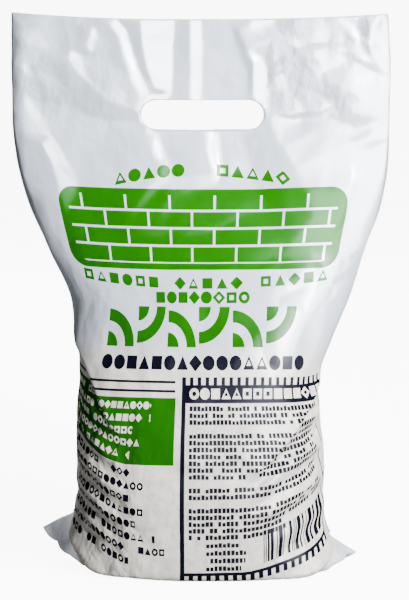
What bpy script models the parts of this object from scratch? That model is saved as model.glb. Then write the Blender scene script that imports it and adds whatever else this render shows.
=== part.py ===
"""A small bag of cement powder, standing upright.

The bag is one tube of polyethylene film. It is welded flat across the bottom and across the
top, and a hand slot is punched through both layers near the top. The lower half is full of
powder and stands as a rounded block, the upper half is flat and creased by handling, pleats in
the sides gather the film that the taper leaves over, and the two bottom corners stick out
beside the body as flat ears.

Units are metres, and the tables are in millimetres. +Z is up and the printed front faces -Y.
The origin is on the floor, in the middle of the bag.
"""

import math
from typing import NamedTuple

import bmesh
import bpy
import numpy as np
from mathutils import Vector
from mathutils.geometry import delaunay_2d_cdt

MM = 0.001

# Driving dimensions
FILM_WALL = 0.4 * MM
FOLD_HALF_THICKNESS = 1.0
FLAT_HALF_WIDTH = 132.5
POWDER_GAP = 0.42 * MM
POWDER_SIDE_GAP = 3.2 * MM
SIDE_GAP_FROM = 6.0 * MM
SIDE_GAP_RUN = 16.0 * MM
SIDE_GAP_UP_TO = 132.0 * MM
SIDE_GAP_FOLD = 86.0 * MM
SIDE_GAP_FADE = 6.0 * MM
POWDER_LEVEL = 128.0 * MM
POWDER_HALF_WIDTH = 84.0 * MM
POWDER_CORNER = 34.0 * MM
POWDER_CORNER_SEGMENTS = 6
POWDER_LIMIT_DEPTH = 200.0 * MM
POWDER_LIMIT_BELOW = 2.0 * MM
SLOT_WIDTH = 85.0 * MM
SLOT_HEIGHT = 21.0 * MM
SLOT_CENTRE = (1.5 * MM, 320.5 * MM)
SLOT_CORNER_SEGMENTS = 10
SLOT_CUTTER_DEPTH = 40.0 * MM
CAP_WELD_DISTANCE = 0.01 * MM

# How finely the sections are read before the mesh is laid on them
READ_STEPS = 2000
SECTION_STEPS = 400
# Mesh density: rings over the sole, up the body and over the flat top
HALF_COLUMNS = 16
SOLE_RINGS = 12
BODY_RINGS = 14
TOP_RINGS = 17
SOLE_END = 96.0
TOP_START = 296.0

# The two panels of the film tube, as the direction that each faces along Y
FRONT = -1
BACK = 1


class Section(NamedTuple):
    """One level of the film around the body. Lengths are in millimetres.

    middle is the height at the centre of a panel, left_rise and right_rise are how much higher
    the side folds are. left and right are the reach of the folds, depth is half the thickness.
    width_power and depth_power shape the section, and rise_power how the level climbs. turn is
    the share of the climb that comes where the section turns in to the fold.
    """

    middle: float
    left_rise: float
    right_rise: float
    left: float
    right: float
    depth: float
    width_power: float
    depth_power: float
    rise_power: float
    turn: float


# From the bottom weld, over the sole, up the filled body and the taper, to the top weld
SECTIONS = (
    Section(0, 21.5, 11, 113.6, 109.5, 0, 1.00, 1.00, 6.0, 0.00),
    Section(0, 29, 16, 101, 101, 22, 0.26, 0.22, 6.0, 0.68),
    Section(0, 33, 21, 92, 92.5, 45, 0.42, 0.34, 8.0, 0.85),
    Section(0, 42, 30, 87, 88.5, 66, 0.58, 0.50, 9.0, 0.50),
    Section(4, 50, 38, 86.5, 87.5, 71.5, 0.70, 0.66, 7.0, 0.10),
    Section(22, 49, 41, 87, 88, 73, 0.76, 0.74, 5.0, 0.00),
    Section(52, 40, 36, 88, 86.5, 73, 0.73, 0.70, 3.2, 0.00),
    Section(88, 27, 25, 87.5, 85, 70, 0.74, 0.72, 2.4, 0.00),
    Section(120, 17, 17, 85.5, 83, 63, 0.78, 0.78, 2.2, 0.00),
    Section(150, 12, 12, 88, 93.5, 54, 0.84, 0.90, 2.2, 0.00),
    Section(182, 8, 8, 91.5, 106.5, 42, 0.90, 1.00, 2.2, 0.00),
    Section(218, 6, 6, 107, 117, 27, 0.96, 1.00, 2.2, 0.00),
    Section(254, 4, 4, 121, 128.5, 14, 1.00, 0.90, 2.2, 0.00),
    Section(288, 3, 3, 130.5, 134, 5, 1.00, 0.70, 2.2, 0.00),
    Section(320, 2, 2, 134, 135, 1.6, 1.00, 0.50, 2.2, 0.00),
    Section(352, 3, 3, 134, 135, 1.2, 1.00, 0.50, 2.2, 0.00),
    Section(388, 5, 4, 133, 132, 0.4, 1.00, 0.50, 2.2, 0.00),
)


class Pleat(NamedTuple):
    """A fold in the side of the bag, where the upper film sags over the lower film.

    edge runs from the panel's centre to the side fold: how far across from 0 to 1, the height of
    the upper film's edge, and how far it covers the lower film. lift is how far the upper film
    stands off, and squeeze is the film that small wrinkles below take up. In millimetres.
    """

    edge: tuple
    lift: float
    squeeze: float


LEFT_PLEAT = Pleat(
    edge=((0.0, 84, 0.0), (0.4, 98, 0.0), (0.58, 120, 3.5), (0.8, 156, 6.5), (1.0, 174, 9.0)),
    lift=5.0,
    squeeze=12.0,
)
RIGHT_PLEAT = Pleat(
    edge=((0.0, 62, 0.0), (0.38, 84, 1.2), (0.66, 118, 4.5), (0.82, 132, 6.5), (1.0, 141, 9.0)),
    lift=4.0,
    squeeze=17.0,
)
# A pleat stands off fully where it overlaps this far, less so near the side fold, and the
# film above it settles again over a fading height
FULL_OVERLAP = 7.0
NEAR_FOLD = 0.82
LIFT_LOST_AT_FOLD = 0.85
LIFT_FADE = 26.0
# Pleats lie over this height
PLEATS_FROM = 60.0
# Where across the small wrinkles start and are all there, and over what length they are spread
SQUEEZE_START = 0.25
SQUEEZE_FULL = 0.88
SQUEEZE_RUN = 80.0

# The creases, each through points of the flat film: across, along from the bottom weld, and how
# far the film stands out. Those of the top move both layers, those of the body one layer each.
TOP_CREASES = (
    # The side folds, and the line where the creases fade out into the taper
    ((-133, 474, -2.4), (-133, 420, -2.2), (-133, 380, -2.4), (-133, 340, -1.6), (-133, 296, -0.4)),
    ((133, 474, -1.6), (133, 420, -1.4), (133, 380, -1.6), (133, 340, -1.0), (133, 296, -0.2)),
    ((-133, 296, -0.4), (-60, 300, 0.3), (0, 302, 0.0), (60, 299, 0.4), (133, 296, -0.2)),
    ((-133, 290, 0), (0, 290, 0), (133, 290, 0)),
    # Around the film
    (
        (-140, 480, -2.4), (-57, 480, 1), (0, 480, -1), (70, 480, 0), (140, 480, -1.6),
        (140, -10, 0), (-140, -10, 0),
    ),
    # Along the top edge
    (
        (-131, 468, -2), (-112, 468, 0.5), (-83, 468, 1), (-70, 468, 2), (-57, 468, 1.5),
        (-42, 468, 2.5), (-20, 468, -1), (-6, 468, -0.5), (0, 468, -1.6), (18, 468, -1),
        (36, 468, 0.5), (53, 468, -1), (70, 468, 0.5), (95, 468, 1.5), (114, 468, 0.5),
        (127, 468, 1), (132, 468, -1),
    ),
    # Beside the left fold
    ((-126, 460, 0.6), (-126, 436, 0.9), (-126, 401, 0.6), (-124, 380, 0.5)),
    # Ridges and valleys above the left half of the slot
    ((-81, 468, 0.6), (-73, 464, 1.6), (-61, 462, 2.6), (-56, 458, 2.4)),
    ((-57, 467, 0.6), (-56, 456, 2.4), (-52, 443, 2.3), (-47, 427, 2.2), (-40, 415, 1.6)),
    ((-51, 461, 0.4), (-47, 445, 0.2), (-42, 431, 0.3), (-37, 417, 0.6)),
    ((-43, 468, 2.4), (-41, 454, 2.2), (-37, 436, 1.6), (-31, 420, 1)),
    ((-19, 468, -1.6), (-19, 451, -2.6), (-19, 433, -2.4), (-20, 417, -1.4)),
    # The narrow upright fold above the middle of the slot
    ((-6, 468, -0.4), (-6, 447, -0.7), (-6, 426, -0.6), (-6, 415, -0.4)),
    ((0, 468, -2), (0, 447, -2.6), (0, 426, -2.4), (-1, 415, -1.8)),
    # Above the right end of the slot
    ((24, 462, -1), (28, 448, -1.6), (30, 439, -1.2)),
    ((25, 461, 0.2), (32, 447, 0.3), (36, 439, 1), (35, 426, 1), (35, 415, 0.6)),
    ((43, 440, -1.2), (48, 429, -2), (47, 417, -1.6)),
    # The fan of creases in the top right corner
    (
        (47, 413, -0.6), (59, 430, 1.6), (66, 438, 2.2), (80, 446, 2.6), (94, 444, 2.6),
        (105, 436, 1.8), (119, 430, 0.6),
    ),
    ((59, 435, -0.8), (69, 445, -0.4), (79, 451, 0), (94, 449, 0.4), (108, 441, 0.4)),
    ((62, 424, -0.6), (77, 428, -0.6), (95, 430, -0.2), (105, 426, -0.8)),
    ((69, 413, 0.8), (84, 418, 1.8), (100, 418, 2), (117, 420, 1.2), (128, 422, 0.2)),
    ((69, 407, -0.6), (86, 408, -0.8), (104, 411, -1.2), (127, 414, -0.8)),
    ((73, 394, 0.6), (90, 398, 2), (109, 397, 2.2), (126, 404, 0.8)),
    ((82, 458, 1.6), (94, 461, 2.2), (106, 459, 1.4), (114, 455, -0.4)),
    ((70, 460, -0.6), (83, 465, -0.4), (102, 466, 0)),
    ((115, 462, 0.6), (118, 447, 1.8), (123, 432, 1.4), (126, 422, 0.6)),
    ((111, 461, -0.8), (114, 447, -0.6), (119, 434, -0.6)),
    # The soft folds in the top left corner
    ((-118, 432, 0.6), (-93, 439, 1.8), (-78, 423, 2.6), (-67, 412, 2.4), (-42, 402, 0.8)),
    ((-111, 409, -0.6), (-84, 402, -0.8), (-61, 396, -0.6), (-43, 395, -0.2)),
    ((-96, 450, 0.4), (-90, 445, 1.6), (-83, 441, 0.6)),
    ((-91, 455, 0.6), (-82, 448, 1.8), (-72, 442, 0.8)),
    # Where the left side starts to taper
    ((-123, 385, 0.4), (-111, 379, 1.4), (-106, 364, 1.6), (-105, 345, 1), (-103, 324, 0.5)),
    ((-105, 384, -0.8), (-96, 367, -0.6), (-89, 349, -0.4)),
    # Below the slot
    ((-37, 389, 0.6), (-33, 378, 1.6), (-28, 365, 1.8), (-22, 356, 1), (-16, 344, 0.4)),
    ((-32, 389, 0), (-27, 378, -0.2), (-21, 367, 0)),
    ((4, 390, 0.6), (6, 377, 1.4), (10, 361, 1), (11, 351, 0.3)),
    ((10, 390, -0.6), (12, 377, -0.8), (15, 363, -0.4)),
    ((28, 390, 0.8), (24, 377, 1.2), (19, 364, 0.8)),
    ((35, 389, -0.6), (30, 375, -0.8), (26, 363, -0.3)),
    # Where the right side starts to taper
    ((43, 392, 1.4), (62, 383, 1.8), (82, 375, 1.6)),
    ((105, 374, 1.4), (102, 360, 2), (97, 349, 2.2), (93, 335, 2.4), (89, 320, 2.2), (87, 303, 1.2)),
    ((103, 336, -0.6), (99, 321, -0.8), (95, 302, -0.4)),
    ((112, 381, -0.6), (110, 368, -1), (107, 353, -0.6)),
    # Across the printed panel
    ((-90, 320, 0.2), (-62, 317, 1), (-31, 320, 1), (6, 321, 0.3)),
    ((-92, 313, 0), (-61, 312, -0.2), (-31, 314, -0.2), (6, 316, 0)),
)
TOP_CREASE_HEIGHT = 2.0
BODY_CREASES = (
    # Around the film, and the line where the creases start
    ((-140, 476, 0), (140, 476, 0), (140, -10, 0), (-140, -10, 0), (-140, 476, 0)),
    ((-132, 250, 0), (0, 250, 0), (132, 250, 0)),
    # The smooth middle
    ((0, 180, 0), (16, 150, 0), (14, 110, 0), (30, 72, 0)),
    ((0, 180, 0), (-34, 150, 0), (-40, 110, 0), (-50, 76, 0)),
    # Just under the pleats
    ((-120, 190, 0.4), (-92, 186, 0.9), (-70, 178, 0.6), (-40, 168, 0)),
    ((-118, 178, -0.5), (-90, 172, -0.7), (-62, 166, -0.3)),
    ((60, 186, 0), (84, 194, 0.6), (112, 196, 0.6)),
    # Wrinkles that climb to the right side
    ((35, 139, 0.2), (44, 148, 1), (58, 165, 1.4), (78, 174, 1.4), (113, 174, 0.8)),
    ((36, 134, 0), (45, 144, -0.8), (60, 155, -1), (76, 166, -1), (118, 156, -0.6)),
    ((30, 124, 0.2), (43, 134, 1), (59, 144, 1.3), (77, 153, 1.2), (122, 135, 0.6)),
    ((32, 117, 0), (46, 126, -0.8), (62, 134, -1), (80, 140, -1), (116, 124, -0.6)),
    ((32, 107, 0.2), (47, 117, 1), (65, 122, 1.2), (85, 123, 1), (122, 105, 0.5)),
    ((36, 99, 0), (50, 108, -0.7), (68, 112, -0.9), (91, 110, -0.8), (119, 97, -0.5)),
    ((43, 89, 0.2), (60, 95, 0.8), (78, 98, 1), (107, 91, 0.7)),
    ((51, 79, 0), (66, 84, -0.6), (84, 87, -0.8), (109, 79, -0.6)),
    ((66, 73, 0.3), (81, 77, 0.7), (99, 76, 0.5)),
    # Wrinkles that climb to the left side
    ((-94, 164, 0.6), (-74, 158, 1), (-57, 152, 0.8), (-45, 147, 0.2)),
    ((-96, 152, -0.5), (-75, 148, -0.9), (-61, 143, -0.7), (-49, 139, 0)),
    ((-100, 140, 0.8), (-81, 136, 1.4), (-66, 132, 1.3), (-51, 127, 0.3)),
    ((-105, 128, -0.8), (-81, 124, -1.4), (-67, 121, -1.4), (-53, 119, -0.2)),
    ((-120, 109, 0.6), (-86, 115, 1.3), (-70, 112, 1.2), (-56, 112, 0.3)),
    ((-118, 100, -0.8), (-85, 105, -1.3), (-70, 103, -1), (-58, 104, 0)),
    ((-113, 93, 0.5), (-85, 95, 1), (-73, 93, 0.9), (-60, 94, 0.2)),
    ((-103, 91, -0.4), (-82, 87, -0.9), (-69, 86, -0.5)),
    # The ears
    ((-132, 70, 0), (-100, 58, 0.8), (-88, 40, 0.2), (-84, 10, 0)),
    ((-128, 40, 1.2), (-112, 30, 1.0), (-100, 12, 0.4)),
    ((132, 70, 0), (112, 60, 0.6), (98, 40, 0.2), (92, 10, 0)),
    ((128, 46, 1.2), (116, 30, 0.9), (104, 10, 0.3)),
)
BODY_CREASE_HEIGHT = 1.5
BOTH_LAYERS_FROM = 285.0
BOTH_LAYERS_RUN = 50.0
# The sole inside this line lies flat, and a crease fades out towards a fold and the weld
SOLE_RIM = 70.0
SOLE_RIM_RUN = 14.0
EAR_CREASES_FROM = 96.0
EAR_CREASES_RUN = 12.0
FOLD_FADE = 10.0
WELD_FADE = 8.0
CREASE_GRID = 4.0
# Facets of film that was crushed and smoothed out again, strongest beside the slot at the top
CRUSHED_FACET = 21.0
CRUSHED_HEIGHT = 1.2
CRUSHED_SEED = 5
CRUSHED_LEAST = 0.3
CRUSHED_FROM = 35.0
CRUSHED_RUN = 40.0
CRUSHED_ABOVE = 385.0
CRUSHED_RISE = 30.0

# The bag stands a little uneven: the right ear reaches forward, a front corner is off the floor
EAR_REACH = 27.0
EAR_START = 50.0
EAR_RUN = 58.0
EAR_TOP = 46.0
CORNER_LIFT = 1.2
# What lies lower than this is pressed flat on the floor
SOLE_FLATNESS = 0.6

# Finishes
WHITE_FILM = (0.80, 0.81, 0.82)
FILM_ROUGHNESS = 0.35
WHITE_CEMENT = (0.83, 0.81, 0.77)
CEMENT_ROUGHNESS = 0.95


def clear_scene():
    """Removes the objects that are in the scene already."""
    for existing in list(bpy.data.objects):
        bpy.data.objects.remove(existing, do_unlink=True)


def new_collection(name):
    """Makes a collection in the scene."""
    collection = bpy.data.collections.new(name)
    bpy.context.scene.collection.children.link(collection)
    return collection


def plain_material(name, colour, roughness):
    """Makes a Principled BSDF material of one colour."""
    material = bpy.data.materials.new(name)
    material.use_nodes = True
    shader = material.node_tree.nodes["Principled BSDF"]
    shader.inputs["Base Color"].default_value = (*colour, 1.0)
    shader.inputs["Roughness"].default_value = roughness
    shader.inputs["Metallic"].default_value = 0.0
    return material


def smooth_curve(values, places):
    """Reads a monotone cubic through evenly spaced values at the given places, from 0 to 1."""
    values = np.asarray(values, float)
    steps = np.diff(values)
    slopes = np.zeros(len(values))
    for i in range(1, len(values) - 1):
        if steps[i - 1] * steps[i] > 0:
            slopes[i] = 2.0 * steps[i - 1] * steps[i] / (steps[i - 1] + steps[i])
    slopes[0] = steps[0]
    slopes[-1] = steps[-1]
    at = np.asarray(places, float) * (len(values) - 1)
    span = np.clip(at.astype(int), 0, len(values) - 2)
    t = at - span
    start, end = values[span], values[span + 1]
    return (
        start * (1 + 2 * t) * (1 - t) ** 2
        + slopes[span] * t * (1 - t) ** 2
        + end * t * t * (3 - 2 * t)
        + slopes[span + 1] * t * t * (t - 1)
    )


def film_table():
    """Reads the sections finely, and measures the film along a panel's centre line."""
    dense = np.linspace(0.0, 1.0, READ_STEPS)
    table = [smooth_curve(column, dense) for column in zip(*SECTIONS)]
    steps = np.hypot(np.diff(table[0]), np.diff(table[5]))
    return table, np.concatenate([[0.0], np.cumsum(steps)])


def ring_levels(length):
    """Where the mesh has its rings, along the film from the bottom weld."""
    sole = np.linspace(0.0, SOLE_END, SOLE_RINGS, endpoint=False)
    body = np.linspace(SOLE_END, TOP_START, BODY_RINGS, endpoint=False)
    return np.concatenate([sole, body, np.linspace(TOP_START, length, TOP_RINGS)])


def half_section(section, side):
    """Points of half a front section at even steps of film, from the centre to its fold."""
    angle = np.linspace(0.0, math.pi / 2, SECTION_STEPS)
    across, through = np.sin(angle), np.clip(np.cos(angle), 0.0, 1.0)
    reach = section.left if side < 0 else section.right
    rise = section.left_rise if side < 0 else section.right_rise
    x = side * reach * across**section.width_power
    y = -(FOLD_HALF_THICKNESS + section.depth * through**section.depth_power)
    climb = (1 - section.turn) * across**section.rise_power
    climb += section.turn * (1 - through**section.depth_power) ** 1.2
    z = section.middle + rise * climb
    run = np.concatenate([[0.0], np.cumsum(np.hypot(np.diff(x), np.diff(y)))])
    even = np.linspace(0.0, run[-1], HALF_COLUMNS + 1)
    return np.stack([np.interp(even, run, line) for line in (x, y, z)], axis=1)


def smooth_panel():
    """The front panel before pleats and creases: a grid of points, and the film's length."""
    table, path = film_table()
    rings = []
    for level in ring_levels(path[-1]):
        section = Section(*(float(np.interp(level, path, column)) for column in table))
        left, right = half_section(section, -1), half_section(section, 1)
        rings.append(np.concatenate([left[::-1], right[1:]]))
    return np.array(rings), float(path[-1])


def lay_film(points, length, panel):
    """Film coordinates and pleat ledges over a panel's grid of points."""
    run = np.linalg.norm(np.diff(points, axis=0), axis=2)
    run = np.concatenate([np.zeros((1, points.shape[1])), np.cumsum(run, axis=0)])
    across = np.linspace(-1.0, 1.0, points.shape[1])
    along = length - (run[-1] - run)
    ledge = np.zeros_like(along)
    for column, place in enumerate(across):
        pleat = LEFT_PLEAT if place < 0 else RIGHT_PLEAT
        at, heights, overlaps = zip(*pleat.edge)
        height = np.interp(abs(place), at, heights)
        overlap = np.interp(abs(place), at, overlaps)
        share = min(1.0, max(0.0, (abs(place) - SQUEEZE_START) / (SQUEEZE_FULL - SQUEEZE_START)))
        body = along[:, column] > PLEATS_FROM
        edge = np.interp(height, points[body, column, 2], run[body, column])
        above = run[:, column] - edge
        to_fold = min(1.0, max(0.0, (abs(place) - NEAR_FOLD) / (1.0 - NEAR_FOLD)))
        lift = pleat.lift * (1.0 - LIFT_LOST_AT_FOLD * to_fold) * min(1.0, overlap / FULL_OVERLAP)
        ledge[:, column] = np.where(above > 0.0, lift * np.exp(-above / LIFT_FADE), 0.0)
        below = np.clip(-above / SQUEEZE_RUN, 0.0, 1.0)
        hidden = 2 * overlap * (above < 0.0)
        hidden += pleat.squeeze * share**1.2 * below**2 * (3 - 2 * below)
        along[:, column] -= hidden
    u = np.broadcast_to(across * FLAT_HALF_WIDTH, along.shape)
    return u, along, ledge


def crease_sheet(lines, u, v):
    """Height of the facets that lie between crease lines, at places on the flat film."""
    corners, heights, edges = [], [], []
    for line in lines:
        for k, (across, along, out) in enumerate(line):
            if k:
                edges.append((len(corners) - 1, len(corners)))
            corners.append(Vector((across, along)))
            heights.append(out)
    places, _, faces, given, _, _ = delaunay_2d_cdt(corners, edges, [], 0, 0.01)
    out = [np.mean([heights[k] for k in source]) if source else 0.0 for source in given]
    found = np.zeros_like(u, dtype=float)
    for face in faces:
        a, b, c = (np.array(places[k]) for k in face)
        turn = (b[0] - a[0]) * (c[1] - a[1]) - (b[1] - a[1]) * (c[0] - a[0])
        if abs(turn) < 1e-6:
            continue
        first = ((b[0] - u) * (c[1] - v) - (b[1] - v) * (c[0] - u)) / turn
        second = ((c[0] - u) * (a[1] - v) - (c[1] - v) * (a[0] - u)) / turn
        third = 1.0 - first - second
        inside = (first >= -1e-6) & (second >= -1e-6) & (third >= -1e-6)
        value = first * out[face[0]] + second * out[face[1]] + third * out[face[2]]
        found = np.where(inside, value, found)
    return found


def broad_creases(lines, u, v):
    """The crease sheet, evened out over the size of a mesh face."""
    steps = (-CREASE_GRID, 0.0, CREASE_GRID)
    return sum(crease_sheet(lines, u + du, v + dv) for du in steps for dv in steps) / 9


def crushed_facets(length):
    """Corner points of irregular facets, as in film that was crushed and smoothed out again."""
    dice = np.random.default_rng(CRUSHED_SEED)
    reach = FLAT_HALF_WIDTH + CRUSHED_FACET
    corners = []
    for x in np.arange(-reach, reach + CRUSHED_FACET, CRUSHED_FACET):
        for y in np.arange(-CRUSHED_FACET, length + 2 * CRUSHED_FACET, CRUSHED_FACET):
            aside, on = dice.uniform(-0.48, 0.48, 2) * CRUSHED_FACET
            corners.append(((x + aside, y + on, dice.normal(0.0, CRUSHED_HEIGHT)),))
    return corners


def crease_relief(panel, u, v, length):
    """How far the creased film stands off its smooth lay, outward positive."""
    together = np.clip((v - BOTH_LAYERS_FROM) / BOTH_LAYERS_RUN, 0.0, 1.0)
    together = together * together * (3 - 2 * together)
    corner = np.clip((np.abs(u) - CRUSHED_FROM) / CRUSHED_RUN, 0.0, 1.0)
    corner *= np.clip((v - CRUSHED_ABOVE) / CRUSHED_RISE, 0.0, 1.0)
    crushed = broad_creases(crushed_facets(length), u, v) * (CRUSHED_LEAST + (1 - CRUSHED_LEAST) * corner)
    top = broad_creases(TOP_CREASES, u, v) * TOP_CREASE_HEIGHT + crushed
    edge = np.clip((FLAT_HALF_WIDTH - np.abs(u)) / FOLD_FADE, 0.0, 1.0) * np.clip(v / WELD_FADE, 0.0, 1.0)
    off_sole = np.clip((v - SOLE_RIM) / SOLE_RIM_RUN, 0.0, 1.0)
    ear = np.clip((np.abs(u) - EAR_CREASES_FROM) / EAR_CREASES_RUN, 0.0, 1.0)
    off_sole = np.maximum(off_sole, ear)
    own = broad_creases(BODY_CREASES, u if panel == FRONT else -u, v) * BODY_CREASE_HEIGHT
    layer = top if panel == FRONT else -top
    return together * layer + (1.0 - together) * own * edge * off_sole


def stand_uneven(points):
    """Brings the right ear forward, lifts the front left corner and flattens the sole."""
    x, y, z = points[..., 0], points[..., 1], points[..., 2]
    out = np.clip((x - EAR_START) / EAR_RUN, 0.0, 1.1)
    low = np.clip((EAR_TOP - z) / (0.7 * EAR_TOP), 0.0, 1.0)
    corner = np.clip((-12.0 - x) / 36.0, 0.0, 1.0) * np.clip((-25.0 - y) / 25.0, 0.0, 1.0)
    corner *= np.clip((105.0 + x) / 30.0, 0.0, 1.0) * np.clip((30.0 - z) / 30.0, 0.0, 1.0)
    height = np.where(z < SOLE_FLATNESS, 0.0, z) + CORNER_LIFT * corner
    return np.stack([x, y - EAR_REACH * out**1.3 * low, height], axis=-1)


def panel_points(panel):
    """The grid of points of one panel as it stands, in millimetres."""
    points, length = smooth_panel()
    u, v, ledge = lay_film(points, length, panel)
    along, aside = np.gradient(points, axis=0), np.gradient(points, axis=1)
    outward = np.cross(aside, along)
    outward /= np.linalg.norm(outward, axis=-1, keepdims=True) + 1e-9
    points = points + outward * (ledge + crease_relief(panel, u, v, length))[..., None]
    points[..., 1] *= -panel
    return stand_uneven(points)


def pouch_mesh(name):
    """Lofts the closed outer face of the film from the bottom weld to the top weld."""
    shape = bmesh.new()
    rings = []
    for front_row, back_row in zip(panel_points(FRONT), panel_points(BACK)):
        front = [shape.verts.new(point * MM) for point in front_row]
        back = [shape.verts.new(point * MM) for point in back_row]
        rings.append(front + back[::-1])
    around = len(rings[0])
    for lower, upper in zip(rings, rings[1:]):
        for i in range(around):
            j = (i + 1) % around
            shape.faces.new((lower[i], lower[j], upper[j], upper[i]))
    half = around // 2
    for ring, order in ((rings[0], -1), (rings[-1], 1)):
        for i in range(half - 1):
            strip = (ring[i], ring[i + 1], ring[around - 2 - i], ring[around - 1 - i])
            shape.faces.new(strip[::order])
    bmesh.ops.recalc_face_normals(shape, faces=shape.faces)
    bmesh.ops.triangulate(shape, faces=shape.faces)
    mesh = bpy.data.meshes.new(name)
    shape.to_mesh(mesh)
    shape.free()
    return mesh


def slot_cutter(collection):
    """Makes the punch for the hand slot, a bar with round ends that runs front to back."""
    outline = bpy.data.curves.new("hand_slot_punch", "CURVE")
    outline.dimensions = "2D"
    outline.fill_mode = "BOTH"
    outline.extrude = SLOT_CUTTER_DEPTH / 2
    radius = SLOT_HEIGHT / 2
    straight = SLOT_WIDTH / 2 - radius
    points = []
    for centre, start in ((straight, -math.pi / 2), (-straight, math.pi / 2)):
        for step in range(SLOT_CORNER_SEGMENTS + 1):
            angle = start + math.pi * step / SLOT_CORNER_SEGMENTS
            points.append((centre + radius * math.cos(angle), radius * math.sin(angle)))
    spline = outline.splines.new("POLY")
    spline.points.add(len(points) - 1)
    for point, (x, y) in zip(spline.points, points):
        point.co = (x, y, 0.0, 1.0)
    spline.use_cyclic_u = True
    drawn = bpy.data.objects.new("hand_slot_outline", outline)
    collection.objects.link(drawn)
    drawn.location = (SLOT_CENTRE[0], 0.0, SLOT_CENTRE[1])
    drawn.rotation_euler = (math.pi / 2, 0.0, 0.0)
    bpy.context.view_layer.update()
    evaluated = drawn.evaluated_get(bpy.context.evaluated_depsgraph_get())
    mesh = bpy.data.meshes.new_from_object(evaluated)
    welded = bmesh.new()
    welded.from_mesh(mesh)
    bmesh.ops.remove_doubles(welded, verts=welded.verts, dist=CAP_WELD_DISTANCE)
    bmesh.ops.recalc_face_normals(welded, faces=welded.faces)
    welded.to_mesh(mesh)
    welded.free()
    punch = bpy.data.objects.new("hand_slot_punch", mesh)
    collection.objects.link(punch)
    punch.matrix_world = drawn.matrix_world
    bpy.data.objects.remove(drawn, do_unlink=True)
    punch.display_type = "WIRE"
    punch.hide_render = True
    return punch


def make_film_bag(parts, cutters):
    """The film: the pouch as a thin wall, with the hand slot punched through both layers."""
    bag = bpy.data.objects.new("film_bag", pouch_mesh("film_bag"))
    parts.objects.link(bag)
    bag.data.materials.append(plain_material("white_film", WHITE_FILM, FILM_ROUGHNESS))
    wall = bag.modifiers.new("film wall", "SOLIDIFY")
    wall.thickness = FILM_WALL
    wall.offset = -1.0
    wall.use_even_offset = True
    punched = bag.modifiers.new("hand slot", "BOOLEAN")
    punched.operation = "DIFFERENCE"
    punched.solver = "EXACT"
    punched.object = slot_cutter(cutters)
    bag.data.shade_smooth()
    return bag


def powder_limit(collection):
    """Makes the block that bounds the powder: flat at the fill level, rounded off at the ears."""
    limit = bmesh.new()
    bmesh.ops.create_cube(limit, size=1.0)
    size = (2 * POWDER_HALF_WIDTH, POWDER_LIMIT_DEPTH, POWDER_LEVEL + POWDER_LIMIT_BELOW)
    bmesh.ops.scale(limit, vec=size, verts=limit.verts)
    bmesh.ops.translate(limit, vec=(0, 0, POWDER_LEVEL - size[2] / 2), verts=limit.verts)
    low_corners = [
        edge
        for edge in limit.edges
        if all(vertex.co.z < 0 for vertex in edge.verts)
        and abs(edge.verts[0].co.x - edge.verts[1].co.x) < MM
    ]
    bmesh.ops.bevel(
        limit,
        geom=low_corners,
        offset=POWDER_CORNER,
        segments=POWDER_CORNER_SEGMENTS,
        profile=0.5,
        affect="EDGES",
    )
    mesh = bpy.data.meshes.new("powder_limit")
    limit.to_mesh(mesh)
    limit.free()
    block = bpy.data.objects.new("powder_limit", mesh)
    collection.objects.link(block)
    block.display_type = "WIRE"
    block.hide_render = True
    return block


def powder_gap(place):
    """The gap between powder and film: narrow where the powder lies, wider at the loose sides."""
    share = min(
        1.0,
        (place.z - SIDE_GAP_FROM) / SIDE_GAP_RUN,
        (SIDE_GAP_UP_TO + SIDE_GAP_FADE - place.z) / SIDE_GAP_FADE,
        (SIDE_GAP_FOLD - abs(place.x)) / SIDE_GAP_FADE,
    )
    return POWDER_GAP + (POWDER_SIDE_GAP - POWDER_GAP) * max(0.0, share)


def make_cement_fill(parts, cutters):
    """The powder: what fits inside the film's wall, up to the fill level."""
    inset = bmesh.new()
    inset.from_mesh(pouch_mesh("powder_outline"))
    inset.normal_update()
    moves = []
    for vertex in inset.verts:
        depth = FILM_WALL + powder_gap(vertex.co)
        moves.append(vertex.normal * depth * vertex.calc_shell_factor())
    for vertex, move in zip(inset.verts, moves):
        vertex.co -= move
    mesh = bpy.data.meshes.new("cement_fill")
    inset.to_mesh(mesh)
    inset.free()
    powder = bpy.data.objects.new("cement_fill", mesh)
    parts.objects.link(powder)
    powder.data.materials.append(plain_material("white_cement", WHITE_CEMENT, CEMENT_ROUGHNESS))
    bound = powder.modifiers.new("fill level", "BOOLEAN")
    bound.operation = "INTERSECT"
    bound.solver = "EXACT"
    bound.object = powder_limit(cutters)
    powder.data.shade_smooth()
    return powder


def main():
    """Builds the bag and its powder."""
    clear_scene()
    parts = new_collection("cement_bag")
    cutters = new_collection("cutters")
    cutters.hide_render = True
    make_film_bag(parts, cutters)
    make_cement_fill(parts, cutters)


main()
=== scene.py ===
"""The looks of a small film bag of white cement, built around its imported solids.

The film is one closed skin. It is drawn in the flat coordinates of the film tube, across from
side fold to side fold and along from the bottom weld to the top edge, and then laid around the
powder: smooth sections give the body, pleats gather the spare length at the sides, and creases
stand for what handling has left in the film. The print is drawn in the same flat coordinates.
Lengths are in metres unless a name or a comment says millimetres.
"""

import logging
import math
from dataclasses import dataclass, field
from enum import Enum
from typing import NamedTuple

import bmesh
import bpy
import numpy as np
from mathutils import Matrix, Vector
from mathutils.geometry import delaunay_2d_cdt


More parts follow.
